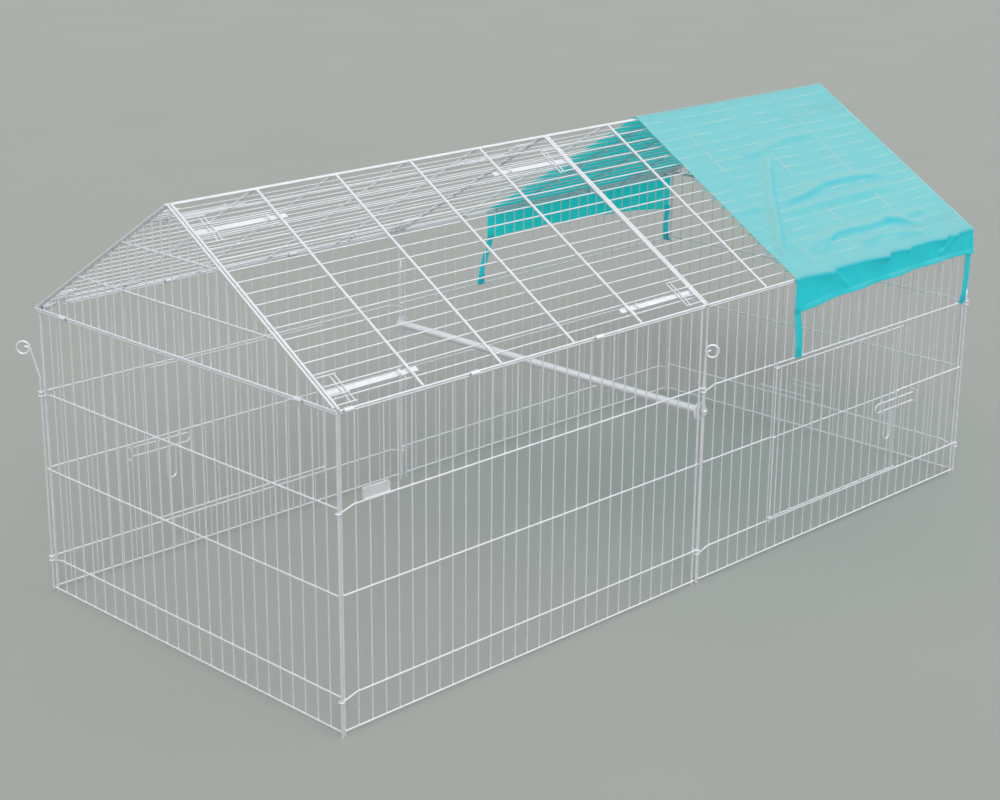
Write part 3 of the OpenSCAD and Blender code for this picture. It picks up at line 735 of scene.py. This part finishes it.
    def build(self, material: bpy.types.Material) -> None:
        """Makes the welds of every panel.

        Args:
            material: The wires' finish.
        """
        s = self.sizes
        unit = self._unit()
        half = Matrix.Rotation(math.pi, 4, "Z")
        left = Matrix.Translation((-s.half_l, -s.half_w, 0))
        middle = Matrix.Translation((0, -s.half_w, 0))
        end = Matrix.Translation((s.half_l, -s.half_w, 0)) @ Matrix.Rotation(math.pi / 2, 4, "Z")
        plain = self._wall(s.half_l, s.long_gaps, False, False)
        door = self._wall(s.half_l, s.long_gaps, False, True)
        ends = self._wall(2 * s.half_w, s.end_gaps, True, False)
        for name, places, turn in (
            ("welds_wall_front_left", plain, left),
            ("welds_wall_back_right", plain, half @ left),
            ("welds_wall_front_right", door, middle),
            ("welds_wall_back_left", door, half @ middle),
            ("welds_wall_right_end", ends, end),
            ("welds_wall_left_end", ends, half @ end),
        ):
            self._copy(unit, name, places, self.nugget, turn, ROOT, material)
        stiles = [
            s.long_upright(s.door_first) + s.door_stile_in,
            *(s.long_upright(i) for i in range(s.door_first + 1, s.door_last)),
            s.long_upright(s.door_last) - s.door_lap,
        ]
        leaf = [(x, s.door_seam_y, z) for x in stiles for z in s.door_zs]
        thin = (self.nugget[1], self.nugget[0], self.nugget[2])
        gable = self._gable()
        for name, places, radii, turn, body in (
            ("welds_door_front", leaf, self.nugget, middle, "door_front"),
            ("welds_door_back", leaf, self.nugget, half @ middle, "door_back"),
            ("welds_gable_right", gable, thin, Matrix(), ROOT),
            ("welds_gable_left", gable, thin, half, ROOT),
        ):
            self._copy(unit, name, places, radii, turn, body, material)
        slope = Matrix.Translation((0, -s.half_w, s.eave_z)) @ Matrix.Rotation(s.slope, 4, "X")
        for name, start, turn, body in (
            ("welds_roof_front_left", -s.roof_far, slope, "roof_front_left"),
            ("welds_roof_front_right", s.roof_near, slope, ROOT),
            ("welds_roof_back_left", s.roof_near, half @ slope, "roof_back_left"),
            ("welds_roof_back_right", -s.roof_far, half @ slope, ROOT),
        ):
            self._copy(unit, name, self._roof(start), self.bar_nugget, turn, body, material)


def ease(share: np.ndarray) -> np.ndarray:
    """Bends a share from 0 to 1 into a smooth step, which starts and ends level.

    Args:
        share: The shares, which are cut off at 0 and 1.

    Returns:
        The smoothed shares.
    """
    held = np.clip(share, 0, 1)
    return held * held * (3 - 2 * held)


@dataclass(frozen=True)
class Crest:
    """One raised fold of the cloth along a chain of places (x, distance up from the eave)."""

    line: tuple[Point, ...]
    height: float
    width: float
    lee: float = 0.0
    end_share: float = 0.18
    sharpness: float = 1.6
    lee_off: float = 2.0
    lee_width: float = 1.1
    lee_reach: float = 3.2

    def lift(self, x: np.ndarray, up: np.ndarray) -> np.ndarray:
        """Gives the fold's height over the cloth.

        Args:
            x: Places along the ridge.
            up: Distances up the slope from the eave.

        Returns:
            The height at each place.
        """
        best = np.full(x.shape, np.inf)
        share = np.zeros(x.shape)
        hand = np.zeros(x.shape)
        legs = list(zip(self.line[:-1], self.line[1:]))
        spans = [math.dist(a, b) for a, b in legs]
        walked = 0.0
        for (a, b), span in zip(legs, spans):
            dx, du = (b[0] - a[0]) / span, (b[1] - a[1]) / span
            t = np.clip((x - a[0]) * dx + (up - a[1]) * du, 0, span)
            far = np.hypot(x - a[0] - t * dx, up - a[1] - t * du)
            closer = far < best
            best = np.where(closer, far, best)
            share = np.where(closer, (walked + t) / sum(spans), share)
            hand = np.where(closer, (x - a[0]) * du - (up - a[1]) * dx, hand)
            walked += span
        taper = ease(np.minimum(share, 1 - share) / self.end_share)
        ridge = np.exp(-((best / self.width) ** self.sharpness))
        trough_at = hand - self.lee_off * self.width
        trough = np.exp(-((trough_at / (self.lee_width * self.width)) ** 2))
        near = np.exp(-((best / (self.lee_reach * self.width)) ** 2))
        return self.height * taper * (ridge - self.lee * trough * near)


FRONT_FOLDS = (
    # Long crease from the front left corner
    Crest(
        ((0.325, 0.000), (0.365, 0.094), (0.436, 0.178), (0.495, 0.251), (0.564, 0.324),
         (0.652, 0.414)),
        0.0115, 0.016, 0.6,
    ),
    # Cross folds in the middle of the slope
    Crest(
        ((0.470, 0.231), (0.612, 0.242), (0.699, 0.258), (0.724, 0.265), (0.823, 0.264),
         (1.000, 0.249)),
        0.0085, 0.012, 0.5,
    ),
    Crest(((0.455, 0.199), (0.612, 0.206), (0.858, 0.205), (1.010, 0.204)), 0.0055, 0.014, 0.25),
    Crest(((0.325, 0.236), (0.403, 0.236), (0.460, 0.236)), 0.0035, 0.010, 0.6),
    Crest(
        ((0.520, 0.403), (0.607, 0.414), (0.664, 0.421), (0.731, 0.435), (0.880, 0.437)),
        0.0042, 0.012, 0.4,
    ),
    # Slack gathered over the eave
    Crest(
        ((0.440, 0.078), (0.570, 0.100), (0.603, 0.104), (0.734, 0.099), (0.814, 0.102),
         (0.872, 0.086), (0.945, 0.054)),
        0.0088, 0.012, 0.5,
    ),
    Crest(((0.780, 0.103), (0.891, 0.103), (1.005, 0.101)), 0.0048, 0.011, 0.3),
    Crest(((0.470, 0.050), (0.494, 0.062), (0.550, 0.082), (0.602, 0.100)), 0.0060, 0.009, 0.5),
    Crest(((0.620, 0.052), (0.720, 0.062), (0.830, 0.050), (0.920, 0.030)), 0.0055, 0.013, 0.3),
    # Creases in the hanging edge
    Crest(((0.472, -0.002), (0.500, -0.030), (0.545, -0.072)), 0.0030, 0.007, 0.4),
    Crest(((0.474, -0.004), (0.452, -0.040), (0.420, -0.084)), 0.0030, 0.009, 0.4),
    Crest(((1.004, 0.000), (0.975, -0.034), (0.925, -0.062)), 0.0028, 0.009, 0.3),
)
BACK_FOLDS = (
    Crest(((0.350, 0.010), (0.460, 0.150), (0.540, 0.300), (0.580, 0.420)), 0.0065, 0.013, 0.4),
    Crest(((0.930, -0.012), (0.880, 0.130), (0.850, 0.290)), 0.0055, 0.013, 0.3),
    Crest(((0.480, 0.075), (0.600, 0.098), (0.740, 0.094), (0.860, 0.070)), 0.0050, 0.010, 0.3),
    Crest(((0.560, 0.300), (0.690, 0.292), (0.820, 0.305)), 0.0036, 0.009, 0.2),
)


@dataclass(frozen=True)
class Pleat:
    """Slack that hangs over the eave: it grows along X from its start and ends at its crest."""

    start: float
    crest: float
    reach: float
    edge: float = 0.007
    growth: float = 1.6

    def slide(self, x: np.ndarray) -> np.ndarray:
        """Gives how far the slack hangs over.

        Args:
            x: Places along the ridge.

        Returns:
            The distance downhill at each place.
        """
        grow = np.clip((x - self.start) / (self.crest - self.start), 0, 1)
        return self.reach * grow**self.growth * ease((self.crest + self.edge - x) / self.edge)


FRONT_PLEATS = (
    Pleat(0.360, 0.472, 0.009, 0.012), Pleat(0.560, 0.704, 0.010, 0.009),
    Pleat(0.742, 0.796, 0.006, 0.012), Pleat(0.880, 0.962, 0.008, 0.014),
    Pleat(0.978, 1.014, 0.006, 0.012),
)
BACK_PLEATS = (
    Pleat(0.360, 0.450, 0.006, 0.012), Pleat(0.520, 0.640, 0.009, 0.010),
    Pleat(0.700, 0.860, 0.008, 0.014),
)


@dataclass
class Sunshade:
    """Cloth cover over the right half of the roof, hanging down at both eaves, in metres."""

    start_x: float = 0.327
    end_x: float = 1.095
    half_w: float = WireSizes.half_w
    eave_z: float = WireSizes.eave_z
    slope: float = WireSizes.slope
    lie: float = 0.0059
    hang_y: float = 0.51715
    hang: float = 0.086
    hem_arch: float = 0.010
    front_slant: float = 0.020
    back_slant: float = -0.031
    hem_wave: float = 0.006
    hem_waves: float = 4.5
    ridge_round: float = 0.007
    eave_round: float = 0.008
    thickness: float = 0.0009
    cell: float = 0.0048
    slope_cell: float = 0.0058
    slack_up: float = 0.055
    slack_down: float = 0.038
    hem_w: float = 0.014
    hem_lift: float = 0.0005
    hem_edge: float = 0.0008
    hem_step: float = 0.0006
    bar_start: float = ShadeCloth.bar_start_mm * MM
    bar_pitch: float = ShadeCloth.bar_pitch_mm * MM
    sag: float = 0.0015
    lowest: float = -0.0017
    wire_pitch: float = ShadeCloth.wire_pitch_mm * MM
    wire_sag: float = 0.0004
    crinkle: float = 0.00055
    crinkle_all_over: float = 0.45
    crinkle_at_eave: float = 0.75
    seed: int = 11
    ripples: int = 26
    ripple_sizes: tuple[float, float] = (0.035, 0.16)
    ripple_crest: float = 5.0
    low_down: float = 0.2
    ridge_free: float = 0.01
    settle: float = 0.05
    bar_grip: float = 0.045
    ridge_calm: float = 0.03
    wires_from: float = 0.02
    wires_fade: float = 0.03
    firm: float = 0.0003
    # How the painted sheen of sky light grows as the cloth faces up, and the painted highlight and
    # shade of its folds
    pale_most: float = 0.82
    pale_from: float = 0.2
    pale_span: float = 0.65
    pale_limit: float = 1.12
    crest_pale: float = 0.18
    crest_height: float = 0.006
    trough_most: float = -0.6
    rest_full: float = 1.2
    rest_gap: float = 0.002
    lines_from: float = 0.012
    lines_fade: float = 0.02

    def _slope_length(self) -> float:
        """Length of the cloth's plane on one slope, from the ridge line to the eave fold line."""
        return self.hang_y / math.cos(self.slope)

    def _ridge_z(self) -> float:
        """Height at which the planes of the two slopes meet."""
        return self.eave_z + self.half_w * math.tan(self.slope) + self.lie / math.cos(self.slope)

    def section(self, w: np.ndarray) -> tuple[np.ndarray, np.ndarray, np.ndarray]:
        """Gives the cloth's section at distances from the ridge, on the front side.

        Args:
            w: Distances from the ridge line along the cloth.

        Returns:
            Y, Z and the lean of the outward direction from up to forward.
        """
        a = self.slope
        turn = math.pi / 2 - a
        cut_r = self.ridge_round * math.tan(a)
        arc_r = self.ridge_round * a
        cut_e = self.eave_round * math.tan(turn / 2)
        arc_e = self.eave_round * turn
        flat = self._slope_length() - cut_r - cut_e
        w1, w2, w3 = arc_r, arc_r + flat, arc_r + flat + arc_e
        lean = np.clip(w / self.ridge_round, 0, a) + np.clip((w - w2) / self.eave_round, 0, turn)
        top = self._ridge_z() - cut_r * math.sin(a) + self.ridge_round * (1 - math.cos(a))
        on_arc = np.minimum(w, w1) / self.ridge_round
        y = -self.ridge_round * np.sin(on_arc)
        z = top - self.ridge_round * (1 - np.cos(on_arc))
        run = np.clip(w - w1, 0, flat)
        y -= run * math.cos(a)
        z -= run * math.sin(a)
        bend = np.clip((w - w2) / self.eave_round, 0, turn)
        y -= self.eave_round * (np.sin(a + bend) - math.sin(a))
        z -= self.eave_round * (math.cos(a) - np.cos(a + bend))
        z -= np.maximum(w - w3, 0)
        return y, z, lean

    def fold_at(self) -> float:
        """Works out where the cloth folds over the eave.

        Returns:
            The distance from the ridge line to the middle of the fold.
        """
        turn = math.pi / 2 - self.slope
        lost_r = self.ridge_round * (math.tan(self.slope) - self.slope)
        lost_e = self.eave_round * (math.tan(turn / 2) - turn / 2)
        return self._slope_length() - lost_r - lost_e

    def half_length(self) -> float:
        """Distance from the ridge line to a hem, at the straps."""
        return self.fold_at() + self.hang

    def _steps(self, marks: list[float], cells: list[float]) -> np.ndarray:
        """Spreads grid lines between marks, with close ones at the edges of the hems.

        Args:
            marks: The ends of the stretches, from hem to hem.
            cells: The wanted distance of the lines in each stretch.

        Returns:
            The places of the lines.
        """
        edge = (0.0, self.hem_edge, self.hem_w - self.hem_step, self.hem_w + self.hem_step)
        ends = [marks[0] + edge[-1], *marks[1:-1], marks[-1] - edge[-1]]
        lines = [marks[0] + e for e in edge[:-1]]
        for a, b, cell in zip(ends[:-1], ends[1:], cells):
            lines += list(np.linspace(a, b, round((b - a) / cell) + 1)[:-1])
        return np.array(lines + [marks[-1] - e for e in reversed(edge)])

    def _crinkles(self, x: np.ndarray, w: np.ndarray) -> np.ndarray:
        """Fine uneven ripples from a few seeded waves.

        Args:
            x: Places along the ridge.
            w: Signed distances from the ridge.

        Returns:
            Heights, about one at the most.
        """
        draw = np.random.default_rng(self.seed)
        total = np.zeros(x.shape)
        for _ in range(self.ripples):
            way, size = draw.uniform(0, math.pi), draw.uniform(*self.ripple_sizes)
            phase = draw.uniform(0, 6.28)
            total += np.sin((x * math.cos(way) + w * math.sin(way)) * 2 * math.pi / size + phase)
        return total / self.ripple_crest

    def lift(self, x: np.ndarray, w: np.ndarray) -> np.ndarray:
        """Height of the cloth's folds over its plain section.

        Args:
            x: Places along the ridge.
            w: Signed distances from the ridge, negative at the front.

        Returns:
            The height at each place.
        """
        up = self.fold_at() - np.abs(w)
        front = sum(c.lift(x, up) for c in FRONT_FOLDS)
        back = sum(c.lift(x, up) for c in BACK_FOLDS)
        folds = np.where(w < 0, front, back)
        on_slope = np.clip(up / self.settle, 0, 1)
        on_slope = on_slope * np.clip((np.abs(w) - self.ridge_free) / self.settle, 0, 1)
        half_bay = self.bar_pitch / 2
        near_bar = np.abs((x - self.bar_start + half_bay) % self.bar_pitch - half_bay)
        sag = -self.sag * on_slope * (1 - np.exp(-((near_bar / self.bar_grip) ** 2)))
        sag -= self.wire_sag * on_slope * np.sin(math.pi * np.abs(w) / self.wire_pitch) ** 2
        t = (x - self.start_x) / (self.end_x - self.start_x)
        hang = np.clip(-up / self.hang, 0, 1)
        wave = self.hem_wave * hang**2 * (1 - np.cos(2 * math.pi * self.hem_waves * t)) / 2
        # The cloth crinkles most near the eaves, where it is slack
        near_eave = np.clip(1 - up / self.low_down, 0, 1)
        share = self.crinkle_all_over + self.crinkle_at_eave * near_eave
        rough = self.crinkle * share * self._crinkles(x, w)
        calm = np.clip(np.abs(w) / self.ridge_calm, 0, 1)
        # The wires stop the cloth softly, so that no fold goes through them. The limits of over
        # only keep its power within what a number can hold
        least = self.lowest * np.clip((up - self.wires_from) / self.wires_fade, 0, 1)
        over = np.clip(((folds + rough) * calm + sag - least) / self.firm, -30, 60)
        return least + self.firm * np.log1p(np.exp(over)) + wave

    def slack(self, x: np.ndarray, w: np.ndarray) -> np.ndarray:
        """Distance that the pleats hang over the eave, most at the fold itself.

        Args:
            x: Places along the ridge.
            w: Signed distances from the ridge, negative at the front.

        Returns:
            The distance downhill at each place.
        """
        up = self.fold_at() - np.abs(w)
        front = sum(p.slide(x) for p in FRONT_PLEATS)
        back = sum(p.slide(x) for p in BACK_PLEATS)
        share = np.where(up > 0, 1 - up / self.slack_up, 1 + up / self.slack_down)
        return np.where(w < 0, front, back) * ease(share)

    def build(self, face: bpy.types.Material, back: bpy.types.Material) -> bpy.types.Object:
        """Makes the cover as one sheet, with its hems raised a little over the rest.

        Args:
            face: The cloth's outer face.
            back: Its underside.

        Returns:
            The cover.
        """
        half, near = self.half_length(), self.fold_at() - self.slack_up
        xs = self._steps([self.start_x, self.end_x], [self.cell])
        ws = self._steps([-half, -near, near, half], [self.cell, self.slope_cell, self.cell])
        deselect()
        bpy.ops.mesh.primitive_grid_add(
            x_subdivisions=len(xs) - 1, y_subdivisions=len(ws) - 1, size=1.0
        )
        cover = bpy.context.object
        cover.name = "sunshade_cloth"
        mesh = cover.data
        grid = np.array([v.co for v in mesh.vertices])
        column = np.rint((grid[:, 0] + 0.5) * (len(xs) - 1)).astype(int)
        row = np.rint((grid[:, 1] + 0.5) * (len(ws) - 1)).astype(int)
        x, w = xs[column], ws[row]
        y, z, lean = self.section(np.abs(w))
        t = (x - self.start_x) / (self.end_x - self.start_x)
        hang = np.clip((np.abs(w) - self.fold_at()) / self.hang, 0, 1)
        slant = np.where(w < 0, self.front_slant * t, self.back_slant * t**2)
        z = z + hang * (self.hem_arch * (1 - (2 * t - 1) ** 4) + slant)
        edge = np.minimum(np.minimum(x - self.start_x, self.end_x - x), half - np.abs(w))
        lift = self.lift(x, w) + np.where(edge < self.hem_w, self.hem_lift, 0.0)
        slack = self.slack(x, w)
        y = y - lift * np.sin(lean) - slack * math.cos(self.slope)
        z = z + lift * np.cos(lean) - slack * math.sin(self.slope)
        places = np.stack([x, np.where(w < 0, y, -y), z], axis=1)
        mesh.vertices.foreach_set("co", places.astype(np.float32).ravel())
        self.lay_flat(mesh, x, w)
        mesh.update()
        self._shade(mesh, w, lift)
        dress(cover, face)
        mesh.materials.append(back)
        wall = cover.modifiers.new("cloth_thickness", "SOLIDIFY")
        wall.thickness = self.thickness
        wall.offset = -1.0
        wall.material_offset = 1
        apply_modifiers(cover)
        mesh.shade_smooth()
        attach(cover, ROOT)
        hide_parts("sunshade")
        LOG.info("%s: %d by %d lines", cover.name, len(xs), len(ws))
        return cover

    def _shade(self, mesh: bpy.types.Mesh, w: np.ndarray, lift: np.ndarray) -> None:
        """Marks where the cloth gets painted sky sheen, painted highlight and shade on its folds,
        and where it lies on the wires.

        Args:
            mesh: The sheet.
            w: Each point's signed distance from the ridge.
            lift: Each point's height over the plain section.
        """
        # Painted light: faces that look up get a painted sheen of sky light, which makes them paler
        upward = np.array([v.normal.z for v in mesh.vertices])
        pale = self.pale_most * np.clip(
            (upward - self.pale_from) / self.pale_span, 0, self.pale_limit
        )
        # Painted highlight and shade: fold crests are drawn paler and troughs darker
        pale += self.crest_pale * np.clip(lift / self.crest_height, self.trough_most, 1) * pale
        up = self.fold_at() - np.abs(w)
        rests = np.clip(self.rest_full - lift / self.rest_gap, 0, 1)
        rests *= np.clip((up - self.lines_from) / self.lines_fade, 0, 1)
        for name, values in (("painted_sheen", pale), ("touch", rests)):
            layer = mesh.attributes.new(name, "FLOAT", "POINT")
            layer.data.foreach_set("value", values.astype(np.float32))

    @staticmethod
    def lay_flat(mesh: bpy.types.Mesh, x: np.ndarray, w: np.ndarray) -> None:
        """Lays the sheet flat as a map in metres.

        Args:
            mesh: The sheet.
            x: Each point's place along the ridge.
            w: Each point's signed distance from the ridge.
        """
        while mesh.uv_layers:
            mesh.uv_layers.remove(mesh.uv_layers[0])
        layer = mesh.uv_layers.new(name="cloth")
        corner = np.zeros(len(mesh.loops), np.int32)
        mesh.loops.foreach_get("vertex_index", corner)
        places = np.stack([x[corner], w[corner]], axis=1)
        layer.data.foreach_set("uv", places.astype(np.float32).ravel())


@dataclass
class TieStrap:
    """Flat cloth strap from a hem to a loop round the upper rail, in metres."""

    node: str
    side: Side
    foot_x: float
    top_x: float
    top_z: float
    drop: float = 0.0
    tilt: float = 0.0
    width: float = 0.023
    thickness: float = 0.0009
    half_w: float = WireSizes.half_w
    rail_z: float = WireSizes.rail_zs[3]
    top_out: float = 0.0048
    loop_r: float = 0.0030
    tail: float = 0.018
    tail_start: float = 0.04
    tail_closing: float = 3.0
    across: int = 6
    step: float = 0.003
    wrap_steps: int = 26
    tail_steps: int = 12
    bow: float = 0.0022
    wrap: float = 1.45 * math.pi
    lap: float = 0.0013
    cup: float = 0.0006
    level: float = 0.03
    map_start: float = 2.0

    def _path(self) -> tuple[np.ndarray, np.ndarray]:
        """Gives the strap's line from its top, round under the rail and up inside again.

        Returns:
            Distances out from the rail's axis and heights over it.
        """
        rise = self.top_z - self.rail_z + self.drop
        down = np.arange(0, 1, self.step / rise)
        bow = self.bow * np.sin(math.pi * down) ** 2
        out = self.top_out + (self.loop_r - self.top_out) * down + bow
        height = rise * (1 - down)
        turn = np.linspace(0, self.wrap, self.wrap_steps)
        out = np.concatenate([out, self.loop_r * np.cos(turn)])
        height = np.concatenate([height, -self.loop_r * np.sin(turn)])
        climb = np.linspace(self.tail_start, 1, self.tail_steps)
        last_out, last_up = out[-1], height[-1]
        closing = np.minimum(climb * self.tail_closing, 1)
        out = np.concatenate([out, last_out + (self.loop_r - self.lap - last_out) * closing])
        height = np.concatenate([height, last_up + climb * self.tail])
        return out, height

    def build(self, material: bpy.types.Material) -> bpy.types.Object:
        """Makes the strap.

        Args:
            material: The cloth.

        Returns:
            The strap.
        """
        out, height = self._path()
        rise = height[0]
        along = np.concatenate([[0], np.cumsum(np.hypot(np.diff(out), np.diff(height)))])
        deselect()
        bpy.ops.mesh.primitive_grid_add(
            x_subdivisions=self.across, y_subdivisions=len(out) - 1, size=1.0
        )
        strap = bpy.context.object
        strap.name = self.node + "_webbing"
        mesh = strap.data
        grid = np.array([v.co for v in mesh.vertices])
        row = np.rint((grid[:, 1] + 0.5) * (len(out) - 1)).astype(int)
        across = grid[:, 0] * self.width
        lean = np.clip(height[row] / rise, 0, 1)
        x = self.foot_x + across + lean * (self.top_x - self.foot_x)
        over_loop = np.clip(height[row] / self.level, 0, 1)
        dip = across * math.tan(self.tilt) * np.clip(1 - height[row] / self.level, 0, 1)
        cup = self.cup * (2 * across / self.width) ** 2 * over_loop
        y = self.side.value * (self.half_w + out[row] + cup)
        z = self.rail_z - self.drop + height[row] + dip
        mesh.vertices.foreach_set("co", np.stack([x, y, z], axis=1).astype(np.float32).ravel())
        Sunshade.lay_flat(mesh, across, along[row] + self.map_start)
        mesh.update()
        wall = strap.modifiers.new("webbing_thickness", "SOLIDIFY")
        wall.thickness = self.thickness
        wall.offset = 0.0
        apply_modifiers(strap)
        mesh.shade_smooth()
        dress(strap, material)
        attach(strap, ROOT)
        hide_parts(self.node)
        LOG.info("%s: %.0f mm long", strap.name, along[-1] / MM)
        return strap


@dataclass
class NamePlate:
    """Bare pressed plate with a raised rim, held on the front left wall, in metres."""

    rim: float = 0.0022
    step: float = 0.0004
    corner: float = 0.003
    corner_steps: int = 4

    def build(self, material: bpy.types.Material) -> bpy.types.Object:
        """Makes the plate in its node's place.

        Args:
            material: The zinc.

        Returns:
            The plate.
        """
        low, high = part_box("name_plate")
        deselect()
        bpy.ops.mesh.primitive_cube_add(size=1.0)
        plate = bpy.context.object
        plate.name = "name_plate_pressed"
        bpy.ops.object.mode_set(mode="EDIT")
        bpy.ops.transform.resize(value=tuple(high - low))
        bpy.ops.transform.translate(value=tuple((low + high) / 2))
        bpy.ops.mesh.select_all(action="DESELECT")
        bpy.ops.object.mode_set(mode="OBJECT")
        for edge in plate.data.edges:
            a, b = (plate.data.vertices[i].co for i in edge.vertices)
            edge.select = abs(a.y - b.y) > 1e-5
        bpy.ops.object.mode_set(mode="EDIT")
        bpy.ops.mesh.select_mode(type="EDGE")
        bpy.ops.mesh.bevel(offset=self.corner, segments=self.corner_steps)
        bpy.ops.mesh.select_all(action="DESELECT")
        bpy.ops.object.mode_set(mode="OBJECT")
        for face in plate.data.polygons:
            face.select = face.normal.y < -0.9
        bpy.ops.object.mode_set(mode="EDIT")
        bpy.ops.mesh.select_mode(type="FACE")
        bpy.ops.mesh.inset(thickness=self.rim)
        bpy.ops.mesh.inset(thickness=self.step, depth=-self.step)
        bpy.ops.object.mode_set(mode="OBJECT")
        dress(plate, material)
        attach(plate, ROOT)
        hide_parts("name_plate")
        LOG.info("%s made", plate.name)
        return plate


def tie_straps() -> list[TieStrap]:
    """Gives the four straps in their places.

    Returns:
        The straps, front ones first.
    """
    # The rail falls towards its eye at the back right corner, and the strap's loop with it
    wires = WireSizes()
    eye_tilt = math.atan2(wires.eye_drop, wires.eye_bend - wires.eye_r)
    return [
        TieStrap("strap_front_left", Side.FRONT, 0.35847, 0.3385, 0.612),
        TieStrap("strap_front_right", Side.FRONT, 1.0757, 1.0835, 0.632),
        TieStrap("strap_back_left", Side.BACK, 0.29463, 0.3385, 0.612),
        TieStrap(
            "strap_back_right", Side.BACK, 1.0757, 1.0835, 0.582, drop=0.00449, tilt=-eye_tilt
        ),
    ]


def main() -> None:
    """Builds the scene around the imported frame."""
    logging.basicConfig(level=logging.INFO, format="%(name)s: %(message)s")
    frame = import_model()
    PhotoCamera().build()
    Studio().build()
    zinc = ZincPlate().build()
    cloth = ShadeCloth().build()
    for node in frame["nodes"].values():
        dress(node, zinc)
    LOG.info("%d nodes of the frame in zinc plate", len(frame["nodes"]))
    SpotWelds().build(zinc)
    NamePlate().build(zinc)
    shade = Sunshade()
    # Painted light: the underside is drawn in a brighter teal than the outer face, standing in for
    # light that shines through the cloth
    underside = ShadeCloth(
        name="woven_polyester_back_painted_glow", deep="#1CEDFA", sky_sheen="#1CEDFA", light_through=1.0, glow=0.0
    ).build()
    cover = shade.build(cloth, underside)
    straps = [strap.build(cloth) for strap in tie_straps()]


if __name__ == "__main__":
    main()
